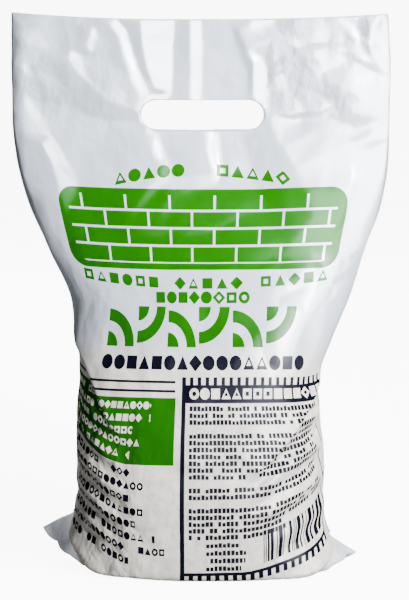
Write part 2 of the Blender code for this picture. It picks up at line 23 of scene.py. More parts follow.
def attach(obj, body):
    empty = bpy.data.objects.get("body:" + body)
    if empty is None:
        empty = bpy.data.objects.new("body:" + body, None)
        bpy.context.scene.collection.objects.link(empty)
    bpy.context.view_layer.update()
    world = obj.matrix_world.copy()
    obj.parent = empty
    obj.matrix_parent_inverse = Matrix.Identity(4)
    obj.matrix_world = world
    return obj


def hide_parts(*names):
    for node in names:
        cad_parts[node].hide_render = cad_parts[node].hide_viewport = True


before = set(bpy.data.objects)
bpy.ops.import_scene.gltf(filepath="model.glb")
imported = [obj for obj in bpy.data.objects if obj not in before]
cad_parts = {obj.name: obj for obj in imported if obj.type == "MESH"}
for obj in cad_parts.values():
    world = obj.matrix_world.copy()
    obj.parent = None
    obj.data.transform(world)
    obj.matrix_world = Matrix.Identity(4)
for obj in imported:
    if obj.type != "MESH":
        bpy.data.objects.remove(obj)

MM = 0.001
LOG = logging.getLogger("cement_bag")
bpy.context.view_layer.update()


class Panel(Enum):
    """The two panels of the flat film tube."""

    FRONT = -1
    BACK = 1


class Section(NamedTuple):
    """One level of the film around the body. Lengths are in millimetres.

    middle is the height at the centre of a panel, left_rise and right_rise are how much higher
    the side folds are. left and right are the reach of the folds, depth is half the thickness.
    width_power and depth_power shape the section, and rise_power how the level climbs. turn is
    the share of the climb that comes where the section turns in to the fold.
    """

    middle: float
    left_rise: float
    right_rise: float
    left: float
    right: float
    depth: float
    width_power: float
    depth_power: float
    rise_power: float
    turn: float


SECTIONS = (
    Section(0, 21.5, 11, 114.6, 112.2, 0, 1.00, 1.00, 10.0, 0.00),
    Section(0, 29, 16, 101, 101, 22, 0.26, 0.22, 6.0, 0.68),
    Section(0, 33, 21, 92, 92.5, 45, 0.42, 0.34, 8.0, 0.85),
    Section(0, 42, 30, 87, 88.5, 66, 0.58, 0.50, 9.0, 0.50),
    Section(4, 50, 38, 86.5, 87.5, 71.5, 0.70, 0.66, 7.0, 0.10),
    Section(22, 49, 41, 87, 88, 73, 0.76, 0.74, 5.0, 0.00),
    Section(52, 40, 36, 88, 86.5, 73, 0.73, 0.70, 3.2, 0.00),
    Section(88, 27, 25, 87.5, 85, 70, 0.74, 0.72, 2.4, 0.00),
    Section(120, 17, 17, 85.5, 83, 63, 0.78, 0.78, 2.2, 0.00),
    Section(150, 12, 12, 88, 93.5, 54, 0.84, 0.90, 2.2, 0.00),
    Section(182, 8, 8, 91.5, 106.5, 42, 0.90, 1.00, 2.2, 0.00),
    Section(218, 6, 6, 107, 117, 27, 0.96, 1.00, 2.2, 0.00),
    Section(254, 4, 4, 121, 128.5, 14, 1.00, 0.90, 2.2, 0.00),
    Section(288, 3, 3, 130.5, 134, 5, 1.00, 0.70, 2.2, 0.00),
    Section(320, 2, 2, 134, 135, 1.6, 1.00, 0.50, 2.2, 0.00),
    Section(352, 3, 3, 134, 135, 1.2, 1.00, 0.50, 2.2, 0.00),
    Section(388, 5, 4, 133, 132, 0.4, 1.00, 0.50, 2.2, 0.00),
)


def smooth_curve(values: np.ndarray, places: np.ndarray) -> np.ndarray:
    """Reads a monotone cubic through evenly spaced values.

    Args:
        values: The values at even spaces.
        places: Where to read, from 0 at the first value to 1 at the last.

    Returns:
        The curve's value at each place.
    """
    values = np.asarray(values, float)
    steps = np.diff(values)
    slopes = np.zeros(len(values))
    for i in range(1, len(values) - 1):
        if steps[i - 1] * steps[i] > 0:
            slopes[i] = 2.0 * steps[i - 1] * steps[i] / (steps[i - 1] + steps[i])
    slopes[0], slopes[-1] = steps[0], steps[-1]
    at = np.asarray(places, float) * (len(values) - 1)
    span = np.clip(at.astype(int), 0, len(values) - 2)
    t = at - span
    start, end = values[span], values[span + 1]
    return (
        start * (1 + 2 * t) * (1 - t) ** 2
        + slopes[span] * t * (1 - t) ** 2
        + end * t * t * (3 - 2 * t)
        + slopes[span + 1] * t * t * (t - 1)
    )


@dataclass
class BodyForm:
    """The smooth form of the filled bag, as a lattice of points over the flat film.

    A lattice row is one level of the film along the centre line, in steps of row_step. A lattice
    column is one place across the panel, from the left side fold at -1 to the right one at 1.
    """

    row_step: float = 1.0
    half_columns: int = 160
    layer_gap: float = 0.5
    length: float = field(init=False)
    points: np.ndarray = field(init=False)

    def __post_init__(self) -> None:
        """Lays the lattice of the front panel, in millimetres."""
        dense = np.linspace(0.0, 1.0, 2000)
        table = [smooth_curve(np.array(column), dense) for column in zip(*SECTIONS)]
        steps = np.hypot(np.diff(table[0]), np.diff(table[5]))
        path = np.concatenate([[0.0], np.cumsum(steps)])
        self.length = float(path[-1])
        rows = int(round(self.length / self.row_step)) + 1
        places = np.interp(np.linspace(0.0, self.length, rows), path, dense)
        self.points = np.zeros((rows, 2 * self.half_columns + 1, 3))
        for row, place in enumerate(places):
            section = Section(*(float(np.interp(place, dense, column)) for column in table))
            left, right = self.half_section(section, -1), self.half_section(section, 1)
            self.points[row] = np.concatenate([left[::-1], right[1:]])

    def half_section(self, section: Section, side: int) -> np.ndarray:
        """Points of half a front section, from the centre to its fold, at even steps of film.

        Args:
            section: The section, in millimetres.
            side: -1 for the left half and 1 for the right one.

        Returns:
            The points, one a row.
        """
        angle = np.linspace(0.0, math.pi / 2, 400)
        across, through = np.sin(angle), np.clip(np.cos(angle), 0.0, 1.0)
        reach = section.left if side < 0 else section.right
        rise = section.left_rise if side < 0 else section.right_rise
        x = side * reach * across**section.width_power
        y = -(self.layer_gap + section.depth * through**section.depth_power)
        climb = (1 - section.turn) * across**section.rise_power
        climb += section.turn * (1 - through**section.depth_power) ** 1.2
        z = section.middle + rise * climb
        run = np.concatenate([[0.0], np.cumsum(np.hypot(np.diff(x), np.diff(y)))])
        even = np.linspace(0.0, run[-1], self.half_columns + 1)
        return np.stack([np.interp(even, run, line) for line in (x, y, z)], axis=1)

    def sample(self, level: np.ndarray, across: np.ndarray) -> np.ndarray:
        """Reads the front lattice.

        Args:
            level: Place along the film, in millimetres from the bottom weld.
            across: Place across the panel, from -1 to 1.

        Returns:
            The points, in millimetres.
        """
        row = np.clip(level / self.row_step, 0.0, len(self.points) - 1.001)
        column = np.clip((across + 1.0) * self.half_columns, 0.0, 2 * self.half_columns - 0.001)
        r, c = row.astype(int), column.astype(int)
        fr, fc = (row - r)[..., None], (column - c)[..., None]
        p = self.points
        low = p[r, c] * (1 - fc) + p[r, c + 1] * fc
        high = p[r + 1, c] * (1 - fc) + p[r + 1, c + 1] * fc
        return low * (1 - fr) + high * fr


Span = tuple[float, float]


def rise(value: np.ndarray | float, start: float, end: float) -> np.ndarray:
    """How far a value has come from start, as 0, to end, as 1."""
    return np.clip((value - start) / (end - start), 0.0, 1.0)


@dataclass(frozen=True)
class Stance:
    """How the filled bag stands a little uneven. Lengths are in millimetres.

    A span gives where an effect begins and where it is full.

    Attributes:
        ear_reach: How far the tip of the right ear comes forward.
        ear_start: Where across the body that turn begins.
        ear_run: From there to the tip.
        ear_top: Height at which the turn has faded out.
        corner_lift: How far the front left corner of the sole is off the floor.
        corner_spans: Across, front to back and down, where that corner is.
        corner_end: Where across the lift fades out again.
        ear_lift: How far the lower fold of the left ear is drawn up off the floor.
        ear_spans: Across and down, where that fold is.
        flat_share: How far the front left edge of the sole is pressed flat.
        flat_spans: Across, front to back and down, where that edge is.
    """

    ear_reach: float = 27.0
    ear_start: float = 50.0
    ear_run: float = 58.0
    ear_top: float = 46.0
    corner_lift: float = 1.2
    corner_spans: tuple[Span, Span, Span] = ((-12.0, -48.0), (-25.0, -50.0), (30.0, 0.0))
    corner_end: Span = (-105.0, -75.0)
    ear_lift: float = 5.8
    ear_spans: tuple[Span, Span] = ((-84.0, -94.0), (14.0, 0.0))
    flat_share: float = 0.5
    flat_spans: tuple[Span, Span, Span] = ((-58.0, -70.0), (-38.0, -48.0), (9.0, 3.0))

    def apply(self, points: np.ndarray) -> np.ndarray:
        """Moves the film into the stance.

        Args:
            points: Points of the even film, in millimetres.

        Returns:
            The moved points.
        """
        x, y, z = points[..., 0], points[..., 1], points[..., 2]
        out = np.clip((x - self.ear_start) / self.ear_run, 0.0, 1.1)
        low = rise(z, self.ear_top, 0.3 * self.ear_top)
        corner, flat = (
            rise(x, *across) * rise(y, *through) * rise(z, *down)
            for across, through, down in (self.corner_spans, self.flat_spans)
        )
        left_ear = rise(x, *self.ear_spans[0]) * rise(z, *self.ear_spans[1])
        moved = points.copy()
        moved[..., 1] -= self.ear_reach * out**1.3 * low
        moved[..., 2] += self.corner_lift * corner * rise(x, *self.corner_end)
        moved[..., 2] += self.ear_lift * left_ear
        moved[..., 2] -= self.flat_share * z * flat
        return moved


@dataclass(frozen=True)
class PleatPoint:
    """One place on a pleat's edge.

    Attributes:
        across: How far from the panel's centre, from 0 to 1 at the side fold.
        height: Height of the edge of the upper film, in millimetres.
        overlap: How far the upper film covers the lower one, in millimetres.
    """

    across: float
    height: float
    overlap: float


@dataclass(frozen=True)
class Pleat:
    """A fold in the side of the bag, where the upper film sags over the lower film.

    Attributes:
        front: The edge over the front panel, from the panel's centre to the side fold.
        back: The edge over the back panel, from the panel's centre to the side fold.
        lift: How far the upper film stands off where the overlap is full, in millimetres.
        squeeze: Where across the small wrinkles below begin, and how much film they hide.
        full: The overlap that counts as full, in millimetres.
        squeeze_end: Where across the small wrinkles hide the most film.
    """

    front: tuple[PleatPoint, ...]
    back: tuple[PleatPoint, ...]
    lift: float
    squeeze: tuple[float, float]
    full: float = 7.0
    squeeze_end: float = 0.88

    def squeezed(self, across: float) -> float:
        """How much film small wrinkles take up below the pleat, in millimetres.

        Args:
            across: Distance from the panel's centre, from 0 to 1.

        Returns:
            The length that they hide.
        """
        start, most = self.squeeze
        return most * float(rise(across, start, self.squeeze_end)) ** 1.2

    def edge(self, panel: Panel, across: float) -> tuple[float, float]:
        """Reads the pleat's edge.

        Args:
            panel: The panel to read it on.
            across: Distance from the panel's centre, from 0 to 1.

        Returns:
            The edge's height and the overlap there, in millimetres.
        """
        places = self.front if panel is Panel.FRONT else self.back
        at = [place.across for place in places]
        height = np.interp(across, at, [place.height for place in places])
        overlap = np.interp(across, at, [place.overlap for place in places])
        return float(height), float(overlap)


LEFT_PLEAT = Pleat(
    front=(
        PleatPoint(0.00, 84, 0.0),
        PleatPoint(0.40, 98, 0.0),
        PleatPoint(0.50, 108, 1.5),
        PleatPoint(0.58, 120, 3.5),
        PleatPoint(0.68, 138, 5.0),
        PleatPoint(0.80, 156, 6.5),
        PleatPoint(1.00, 174, 9.0),
    ),
    back=(
        PleatPoint(0.00, 96, 0.0),
        PleatPoint(0.45, 112, 0.0),
        PleatPoint(0.65, 132, 4.0),
        PleatPoint(0.82, 156, 7.0),
        PleatPoint(1.00, 174, 9.0),
    ),
    lift=5.0,
    squeeze=(0.25, 12.0),
)
RIGHT_PLEAT = Pleat(
    front=(
        PleatPoint(0.00, 62, 0.0),
        PleatPoint(0.22, 70, 0.3),
        PleatPoint(0.38, 84, 1.2),
        PleatPoint(0.52, 101, 2.8),
        PleatPoint(0.66, 118, 4.5),
        PleatPoint(0.82, 132, 6.5),
        PleatPoint(1.00, 141, 9.0),
    ),
    back=(
        PleatPoint(0.00, 80, 0.0),
        PleatPoint(0.42, 92, 0.0),
        PleatPoint(0.62, 112, 4.0),
        PleatPoint(0.82, 131, 6.5),
        PleatPoint(1.00, 141, 9.0),
    ),
    lift=4.0,
    squeeze=(0.25, 17.0),
)


def soft_ramp(value: np.ndarray, radius: float) -> np.ndarray:
    """A ramp that is 0 below 0 and value above it, rounded off at the foot.

    Args:
        value: Where to read the ramp.
        radius: How far the rounding reaches.

    Returns:
        The ramp's height.
    """
    return 0.5 * (value + np.sqrt(value * value + radius * radius))


def soft_step(value: np.ndarray) -> np.ndarray:
    """A step from 0 to 1, half way at 0 and nearly there at 1."""
    return 0.5 * (1.0 + value / np.sqrt(1.0 + value * value))


class Fold(NamedTuple):
    """A pleat as one column of film meets it. Lengths are in millimetres.

    film is the film coordinate of the upper film's edge, overlap is how far it covers the film
    below, and lift is how far it stands off.
    """

    film: float
    overlap: float
    lift: float


@dataclass
class FilmLay:
    """Lays flat film coordinates around the body form.

    A column of film is measured down from the top edge. Its spare length goes into two pleats:
    one in the bag's side, and one where the body's corner sags over the ear. Lengths are in
    millimetres, and places across the panel go from 0 to 1 at the side fold.

    Attributes:
        form: The body form.
        fold_radius: How sharply the film turns at a pleat.
        lift_fade: How far from a pleat its lift fades out.
        body_level: Level above which the side pleat is looked for.
        near_fold: Across, to the side fold, where a pleat lies flatter.
        ear_across: Across, from where the ear's pleat begins.
        ear_levels: Level of that pleat at both ends of ear_across.
        ear_lift: How far the upper film stands off there.
        ear_full: The overlap there that counts as full.
        squeeze_run: Length below the side pleat over which small wrinkles take up film.
    """

    form: BodyForm
    fold_radius: float = 1.4
    lift_fade: float = 26.0
    body_level: float = 60.0
    near_fold: Span = (0.82, 1.0)
    ear_across: Span = (0.35, 1.0)
    ear_levels: Span = (70.0, 43.0)
    ear_lift: float = 5.0
    ear_full: float = 12.0
    squeeze_run: float = 80.0

    def __post_init__(self) -> None:
        """Measures every column of the form along its surface."""
        p = self.form.points
        run = np.linalg.norm(np.diff(p, axis=0), axis=2)
        self.runs = np.concatenate([np.zeros((1, p.shape[1])), np.cumsum(run, axis=0)])

    def column(self, across: float, panel: Panel, film: np.ndarray) -> tuple[np.ndarray, np.ndarray]:
        """Lays one column of film.

        Args:
            across: Place across the panel, from -1 to 1.
            panel: The panel that the column is on.
            film: Film coordinates along the column, in millimetres from the bottom weld.

        Returns:
            The level on the form and the distance off it, both in millimetres.
        """
        at = min(max((across + 1.0) * self.form.half_columns, 0.0), 2 * self.form.half_columns - 1e-6)
        c = int(at)
        share = at - c
        run = self.runs[:, c] * (1 - share) + self.runs[:, c + 1] * share
        heights = self.form.points[:, c, 2] * (1 - share) + self.form.points[:, c + 1, 2] * share
        levels = np.arange(len(run)) * self.form.row_step
        total = float(run[-1])
        pleat = LEFT_PLEAT if across < 0 else RIGHT_PLEAT
        height, overlap = pleat.edge(panel, abs(across))
        body = levels > self.body_level
        side_run = float(np.interp(height, heights[body], run[body]))
        to_fold = float(rise(abs(across), *self.near_fold))
        side_lift = pleat.lift * (1.0 - 0.85 * to_fold) * min(1.0, overlap / pleat.full)
        side = Fold(self.form.length - (total - side_run), overlap, side_lift)
        ear_level = float(np.interp(abs(across), self.ear_across, self.ear_levels))
        ear_run = float(np.interp(ear_level, levels, run))
        squeeze = pleat.squeezed(abs(across))
        ear_film = side.film - 2 * side.overlap - squeeze - (side_run - ear_run)
        ear_overlap = max(0.0, (ear_film - ear_run) / 2)
        ear_lift = self.ear_lift * (1.0 - 0.7 * to_fold) * min(1.0, ear_overlap / self.ear_full)
        ear = Fold(ear_film, ear_overlap, ear_lift)
        laid = side_run + film - side.film
        below = rise(film, side.film - 2 * side.overlap, side.film - 2 * side.overlap - self.squeeze_run)
        laid += squeeze * below * below * (3 - 2 * below)
        off = np.zeros_like(film)
        for fold in (side, ear):
            s = film - fold.film
            r = self.fold_radius * min(1.0, fold.overlap / 3.0 + 0.05)
            laid += 2.0 * (soft_ramp(-s, r) - soft_ramp(-s - fold.overlap, r))
            stand = np.exp(-np.abs(s) / max(self.lift_fade, 2.5 * fold.overlap))
            off += 0.5 * fold.lift * stand * (soft_step(s / r) + soft_step((s + fold.overlap) / r))
        return np.interp(laid, run, levels), off


class CreaseLine(NamedTuple):
    """A line along which the film is creased, through points of the flat film.

    Each point is across, along and how far the film stands out there, in millimetres.
    """

    points: tuple[tuple[float, float, float], ...]


@dataclass
class FacetSheet:
    """A sheet of flat facets between crease lines, like paper folded along them.

    Attributes:
        lines: The crease lines.
        soften: How many times the folds are rounded off by one mesh cell.
    """

    lines: tuple[CreaseLine, ...]
    soften: int = 1

    def height(self, u: np.ndarray, v: np.ndarray) -> np.ndarray:
        """Reads the sheet.

        Args:
            u: Places across, in millimetres, on a grid.
            v: Places along, in millimetres, on a grid.

        Returns:
            How far the sheet stands out at each place, in millimetres.
        """
        corners: list[Vector] = []
        heights: list[float] = []
        edges: list[tuple[int, int]] = []
        for line in self.lines:
            for k, (across, along, out) in enumerate(line.points):
                if k:
                    edges.append((len(corners) - 1, len(corners)))
                corners.append(Vector((across, along)))
                heights.append(out)
        places, _, faces, given, _, _ = delaunay_2d_cdt(corners, edges, [], 0, 0.01)
        out = [float(np.mean([heights[k] for k in source])) if source else None for source in given]
        for k, place in enumerate(places):
            if out[k] is None:
                out[k] = self.crossing_height(place)
        found = np.zeros_like(u)
        for face in faces:
            a, b, c = (np.array(places[k]) for k in face)
            turn = (b[0] - a[0]) * (c[1] - a[1]) - (b[1] - a[1]) * (c[0] - a[0])
            if abs(turn) < 1e-6:
                continue
            low, high = np.minimum.reduce([a, b, c]), np.maximum.reduce([a, b, c])
            box = (u >= low[0] - 0.01) & (u <= high[0] + 0.01)
            box &= (v >= low[1] - 0.01) & (v <= high[1] + 0.01)
            x, y = u[box], v[box]
            first = ((b[0] - x) * (c[1] - y) - (b[1] - y) * (c[0] - x)) / turn
            second = ((c[0] - x) * (a[1] - y) - (c[1] - y) * (a[0] - x)) / turn
            third = 1.0 - first - second
            inside = (first >= -1e-6) & (second >= -1e-6) & (third >= -1e-6)
            value = first * out[face[0]] + second * out[face[1]] + third * out[face[2]]
            found[box] = np.where(inside, value, found[box])
        for _ in range(self.soften):
            found = soften_grid(found)
        return found

    def crossing_height(self, place: Vector) -> float:
        """The height where two crease lines cross, from the nearest piece of a line.

        Args:
            place: Where they cross, in millimetres.

        Returns:
            The height, in millimetres.
        """
        best, result = 1e9, 0.0
        for line in self.lines:
            for (ax, ay, ah), (bx, by, bh) in zip(line.points, line.points[1:]):
                way = Vector((bx - ax, by - ay))
                start = Vector((ax, ay))
                t = min(1.0, max(0.0, (Vector(place) - start).dot(way) / max(way.length_squared, 1e-9)))
                far = (start + way * t - Vector(place)).length
                if far < best:
                    best, result = far, ah + (bh - ah) * t
        return result


def soften_grid(values: np.ndarray) -> np.ndarray:
    """Rounds a grid off by one cell each way."""
    padded = np.pad(values, 1, mode="edge")
    rows = 0.25 * padded[:-2] + 0.5 * padded[1:-1] + 0.25 * padded[2:]
    return 0.25 * rows[:, :-2] + 0.5 * rows[:, 1:-1] + 0.25 * rows[:, 2:]


@dataclass(frozen=True)
class Crumple:
    """Irregular small facets, as in film that was crushed and smoothed out again.

    Attributes:
        spacing: Usual size of a facet, in millimetres.
        height: Usual height, in millimetres.
        seed: Seed of the random placing.
    """

    spacing: float
    height: float
    seed: int

    def sheet(self, half_width: float, length: float) -> FacetSheet:
        """Scatters the corners over the flat film.

        Args:
            half_width: Half the width of the film, in millimetres.
            length: Length of the film, in millimetres.

        Returns:
            The sheet of facets.
        """
        dice, jitter = np.random.default_rng(self.seed), 0.48
        lines = []
        across = np.arange(-half_width - self.spacing, half_width + 2 * self.spacing, self.spacing)
        along = np.arange(-self.spacing, length + 2 * self.spacing, self.spacing)
        for x in across:
            for y in along:
                u, v = np.array((x, y)) + dice.uniform(-jitter, jitter, 2) * self.spacing
                lines.append(CreaseLine(((float(u), float(v), float(dice.normal(0.0, self.height))),)))
        return FacetSheet(tuple(lines), soften=0)


TOP_CREASES = tuple(
    CreaseLine(points)
    for points in (
        # Side edges of the flat top.
        ((-133, 474, -2.4), (-133, 420, -2.2), (-133, 380, -2.4), (-133, 340, -1.6), (-133, 296, -0.4)),
        ((133, 474, -1.6), (133, 420, -1.4), (133, 380, -1.6), (133, 340, -1.0), (133, 296, -0.2)),
        # Where the flat top begins.
        ((-133, 296, -0.4), (-60, 300, 0.3), (0, 302, 0.0), (60, 299, 0.4), (133, 296, -0.2)),
        ((-133, 290, 0), (0, 290, 0), (133, 290, 0)),
        # Outer frame.
        (
            (-140, 480, -2.4), (-57, 480, 1), (0, 480, -1), (70, 480, 0), (140, 480, -1.6), (140, -10, 0),
            (-140, -10, 0),
        ),
        # Ripples of the top edge.
        (
            (-131, 468, -2), (-112, 468, 0.5), (-83, 468, 1), (-70, 468, 2), (-57, 468, 1.5),
            (-42, 468, 2.5), (-20, 468, -1), (-6, 468, -0.5), (0, 468, -1.6), (18, 468, -1),
            (36, 468, 0.5), (53, 468, -1), (70, 468, 0.5), (95, 468, 1.5), (114, 468, 0.5), (127, 468, 1),
            (132, 468, -1),
        ),
        ((-126, 460, 0.6), (-126, 436, 0.9), (-126, 401, 0.6), (-124, 380, 0.5)),
        # Folds from the top edge to the slot.
        ((-81, 468, 0.6), (-73, 464, 1.6), (-61, 462, 2.6), (-56, 458, 2.4)),
        ((-57, 467, 0.6), (-56, 456, 2.4), (-52, 443, 2.3), (-47, 427, 2.2), (-40, 415, 1.6)),
        ((-51, 461, 0.4), (-47, 445, 0.2), (-42, 431, 0.3), (-37, 417, 0.6)),
        ((-43, 468, 2.4), (-41, 454, 2.2), (-37, 436, 1.6), (-31, 420, 1)),
        ((-19, 468, -1.6), (-19, 451, -2.6), (-19, 433, -2.4), (-20, 417, -1.4)),
        ((-6, 468, -0.4), (-6, 447, -0.7), (-6, 426, -0.6), (-6, 415, -0.4)),
        ((0, 468, -2), (0, 447, -2.6), (0, 426, -2.4), (-1, 415, -1.8)),
        ((24, 462, -1), (28, 448, -1.6), (30, 439, -1.2)),
        ((25, 461, 0.2), (32, 447, 0.3), (36, 439, 1), (35, 426, 1), (35, 415, 0.6)),
        ((43, 440, -1.2), (48, 429, -2), (47, 417, -1.6)),
        # Fan in the top right corner.
        ((34, 416, -0.6), (35, 434, -0.5)),
        (
            (38, 421, 0.2), (50, 431, 1.1), (63, 440, 1.5), (80, 446, 1.6), (95, 446, 1.5),
            (104, 444, 1.2), (118, 434, 0.7), (128, 428, 0.2),
        ),
        ((50, 437, -0.1), (64, 446, 0.2), (82, 452, 0.4), (110, 450, 0.2)),
        ((36, 460, 0.4), (51, 455, 0.9), (84, 457, 1.2), (108, 456, 0.7)),
        ((48, 427, 0.0), (66, 421, -0.2), (84, 413, -0.4), (93, 409, -0.5)),
        ((62, 433, 0.5), (84, 424, 0.9), (104, 418, 1.1), (125, 421, 0.4)),
        ((89, 439, 0.3), (110, 433, 0.1), (126, 425, -0.3)),
        ((113, 462, 0.6), (117, 448, 1.3), (122, 435, 0.8)),
        ((109, 461, -0.4), (113, 447, -0.3)),
        ((48, 402, 0.4), (66, 403, 0.8), (84, 404, 0.8)),
        # Right of the slot.
        ((102, 411, 0.1), (114, 406, 0.7), (127, 409, 0.2)),
        ((60, 397, -0.2), (84, 397, -0.4), (108, 387, -0.5), (124, 393, -0.4)),
        ((80, 390, 0.5), (102, 378, 0.9), (118, 382, 0.3)),
        # Left of the slot.
        ((-118, 432, 0.6), (-93, 439, 1.8), (-78, 423, 2.6), (-67, 412, 2.4), (-42, 402, 0.8)),
        ((-111, 409, -0.6), (-84, 402, -0.8), (-61, 396, -0.6), (-43, 395, -0.2)),
        ((-96, 450, 0.4), (-90, 445, 1.6), (-83, 441, 0.6)),
        ((-91, 455, 0.6), (-82, 448, 1.8), (-72, 442, 0.8)),
        # Left side below the slot.
        ((-123, 385, 0.4), (-111, 379, 1.4), (-106, 364, 1.6), (-105, 345, 1), (-103, 324, 0.5)),
        ((-105, 384, -0.8), (-96, 367, -0.6), (-89, 349, -0.4)),
        # Below the slot.
        ((-37, 389, 0.6), (-33, 378, 1.6), (-28, 365, 1.8), (-22, 356, 1), (-16, 344, 0.4)),
        ((-32, 389, 0), (-27, 378, -0.2), (-21, 367, 0)),
        ((4, 390, 0.6), (6, 377, 1.4), (10, 361, 1), (11, 351, 0.3)),
        ((10, 390, -0.6), (12, 377, -0.8), (15, 363, -0.4)),
        ((28, 389, -0.5), (33, 375, -0.9), (38, 358, -0.8), (44, 338, -0.3)),
        ((50, 391, 1.6), (57, 378, 2.4), (65, 364, 2.7), (74, 349, 2.6), (82, 328, 2.0), (86, 308, 1.0)),
        # Right side below the slot.
        ((104, 366, 0.9), (107, 350, 1.2), (103, 336, 1.5), (99, 321, 1.2), (95, 304, 0.6)),
        ((116, 372, -0.6), (114, 356, -0.4), (110, 340, -0.2), (106, 322, -0.2)),
        # Across, over the printed panel.
        ((-90, 320, 0.2), (-62, 317, 1), (-31, 320, 1), (6, 321, 0.3)),
        ((-92, 313, 0), (-61, 312, -0.2), (-31, 314, -0.2), (6, 316, 0)),
    )
)

BODY_CREASES = tuple(
    CreaseLine(points)
    for points in (
        # Outer frame.
        ((-140, 476, 0), (140, 476, 0), (140, -10, 0), (-140, -10, 0), (-140, 476, 0)),
        # Upper limit.
        ((-132, 250, 0), (0, 250, 0), (132, 250, 0)),
        # Long folds down the middle.
        ((0, 180, 0), (16, 150, 0), (14, 110, 0), (30, 72, 0)),
        ((0, 180, 0), (-34, 150, 0), (-40, 110, 0), (-50, 76, 0)),
        # Shoulders.
        ((-120, 190, 0.4), (-92, 186, 0.9), (-70, 178, 0.6), (-40, 168, 0)),
        ((-118, 178, -0.5), (-90, 172, -0.7), (-62, 166, -0.3)),
        ((60, 186, 0), (84, 194, 0.6), (112, 196, 0.6)),
        # Right waist.
        ((35, 139, 0.2), (44, 148, 1), (58, 165, 1.4), (78, 174, 1.4), (113, 174, 0.8)),
        ((36, 134, 0), (45, 144, -0.8), (60, 155, -1), (76, 166, -1), (118, 156, -0.6)),
        ((30, 124, 0.2), (43, 134, 1), (59, 144, 1.3), (77, 153, 1.2), (122, 135, 0.6)),
        ((32, 117, 0), (46, 126, -0.8), (62, 134, -1), (80, 140, -1), (116, 124, -0.6)),
        ((32, 107, 0.2), (47, 117, 1), (65, 122, 1.2), (85, 123, 1), (122, 105, 0.5)),
        ((36, 99, 0), (50, 108, -0.7), (68, 112, -0.9), (91, 110, -0.8), (119, 97, -0.5)),
        ((43, 89, 0.2), (60, 95, 0.8), (78, 98, 1), (107, 91, 0.7)),
        ((51, 79, 0), (66, 84, -0.6), (84, 87, -0.8), (109, 79, -0.6)),
        ((66, 73, 0.3), (81, 77, 0.7), (99, 76, 0.5)),
        # Left waist.
        ((-94, 164, 0.6), (-74, 158, 1), (-57, 152, 0.8), (-45, 147, 0.2)),
        ((-96, 152, -0.5), (-75, 148, -0.9), (-61, 143, -0.7), (-49, 139, 0)),
        ((-100, 140, 0.8), (-81, 136, 1.4), (-66, 132, 1.3), (-51, 127, 0.3)),
        ((-105, 128, -0.8), (-81, 124, -1.4), (-67, 121, -1.4), (-53, 119, -0.2)),
        ((-120, 109, 0.6), (-86, 115, 1.3), (-70, 112, 1.2), (-56, 112, 0.3)),
        ((-118, 100, -0.8), (-85, 105, -1.3), (-70, 103, -1), (-58, 104, 0)),
        ((-113, 93, 0.5), (-85, 95, 1), (-73, 93, 0.9), (-60, 94, 0.2)),
        ((-103, 91, -0.4), (-82, 87, -0.9), (-69, 86, -0.5)),
        # Left ear.
        ((-132, 70, 0), (-100, 58, 0.8), (-88, 40, 0.2), (-84, 10, 0)),
        ((-130, 14, 0.4), (-116, 22, 1.6), (-102, 28, 1.2), (-90, 30, 0.0)),
        ((-130, 26, -0.6), (-114, 35, -1.4), (-100, 40, -0.8)),
        ((-128, 50, 0.6), (-114, 48, 0.9), (-102, 50, 0.4)),
        # Right ear.
        ((132, 70, 0), (112, 60, 0.6), (98, 40, 0.2), (92, 10, 0)),
        ((100, 54, -0.8), (108, 36, -1.6), (112, 18, -1.0), (114, 4, 0)),
        ((112, 56, 0.6), (119, 38, 1.6), (122, 20, 1.2), (122, 4, 0.2)),
        ((126, 52, -0.4), (129, 34, -0.6), (130, 16, -0.2)),
    )
)


@dataclass(frozen=True)
class HandSlot:
    """The punched hand slot, a bar with round ends, in flat film millimetres.

    Attributes:
        centre: Where its middle is, across from the panel's centre and along from the weld.
        width: Its whole width.
        height: Its whole height.
    """

    centre: tuple[float, float]
    width: float = 85.0
    height: float = 21.0

    def distance(self, u: np.ndarray, v: np.ndarray) -> np.ndarray:
        """Distance from the slot's edge, negative inside it."""
        du, dv = self.from_spine(u, v)
        return np.hypot(du, dv) - self.height / 2

    def from_spine(self, u: np.ndarray, v: np.ndarray) -> tuple[np.ndarray, np.ndarray]:
        """The way from the nearest point of the slot's middle line."""
        straight = (self.width - self.height) / 2
        across = u - self.centre[0]
        return across - np.clip(across, -straight, straight), v - self.centre[1]

    def fit(self, u: np.ndarray, v: np.ndarray) -> tuple[np.ndarray, np.ndarray, np.ndarray]:
        """Moves the nearer end of each grid line that crosses the slot's edge onto the edge.

        Args:
            u: Places across, in millimetres.
            v: Places along, in millimetres.

        Returns:
            The places across and along, and each point's side: -1 inside, 0 on the edge, 1 outside.
        """
        far = self.distance(u, v)
        near = np.zeros(u.shape, bool)
        lower, upper, all_of = slice(-1), slice(1, None), slice(None)
        for first, second in (((lower, all_of), (upper, all_of)), ((all_of, lower), (all_of, upper))):
            crossed = far[first] * far[second] < 0
            nearer = np.abs(far[first]) <= np.abs(far[second])
            near[first] |= crossed & nearer
            near[second] |= crossed & ~nearer
        du, dv = self.from_spine(u, v)
        scale = np.where(near, self.height / 2 / np.maximum(np.hypot(du, dv), 1e-6), 1.0)
        return u - du + du * scale, v - dv + dv * scale, np.where(near, 0, np.sign(far))


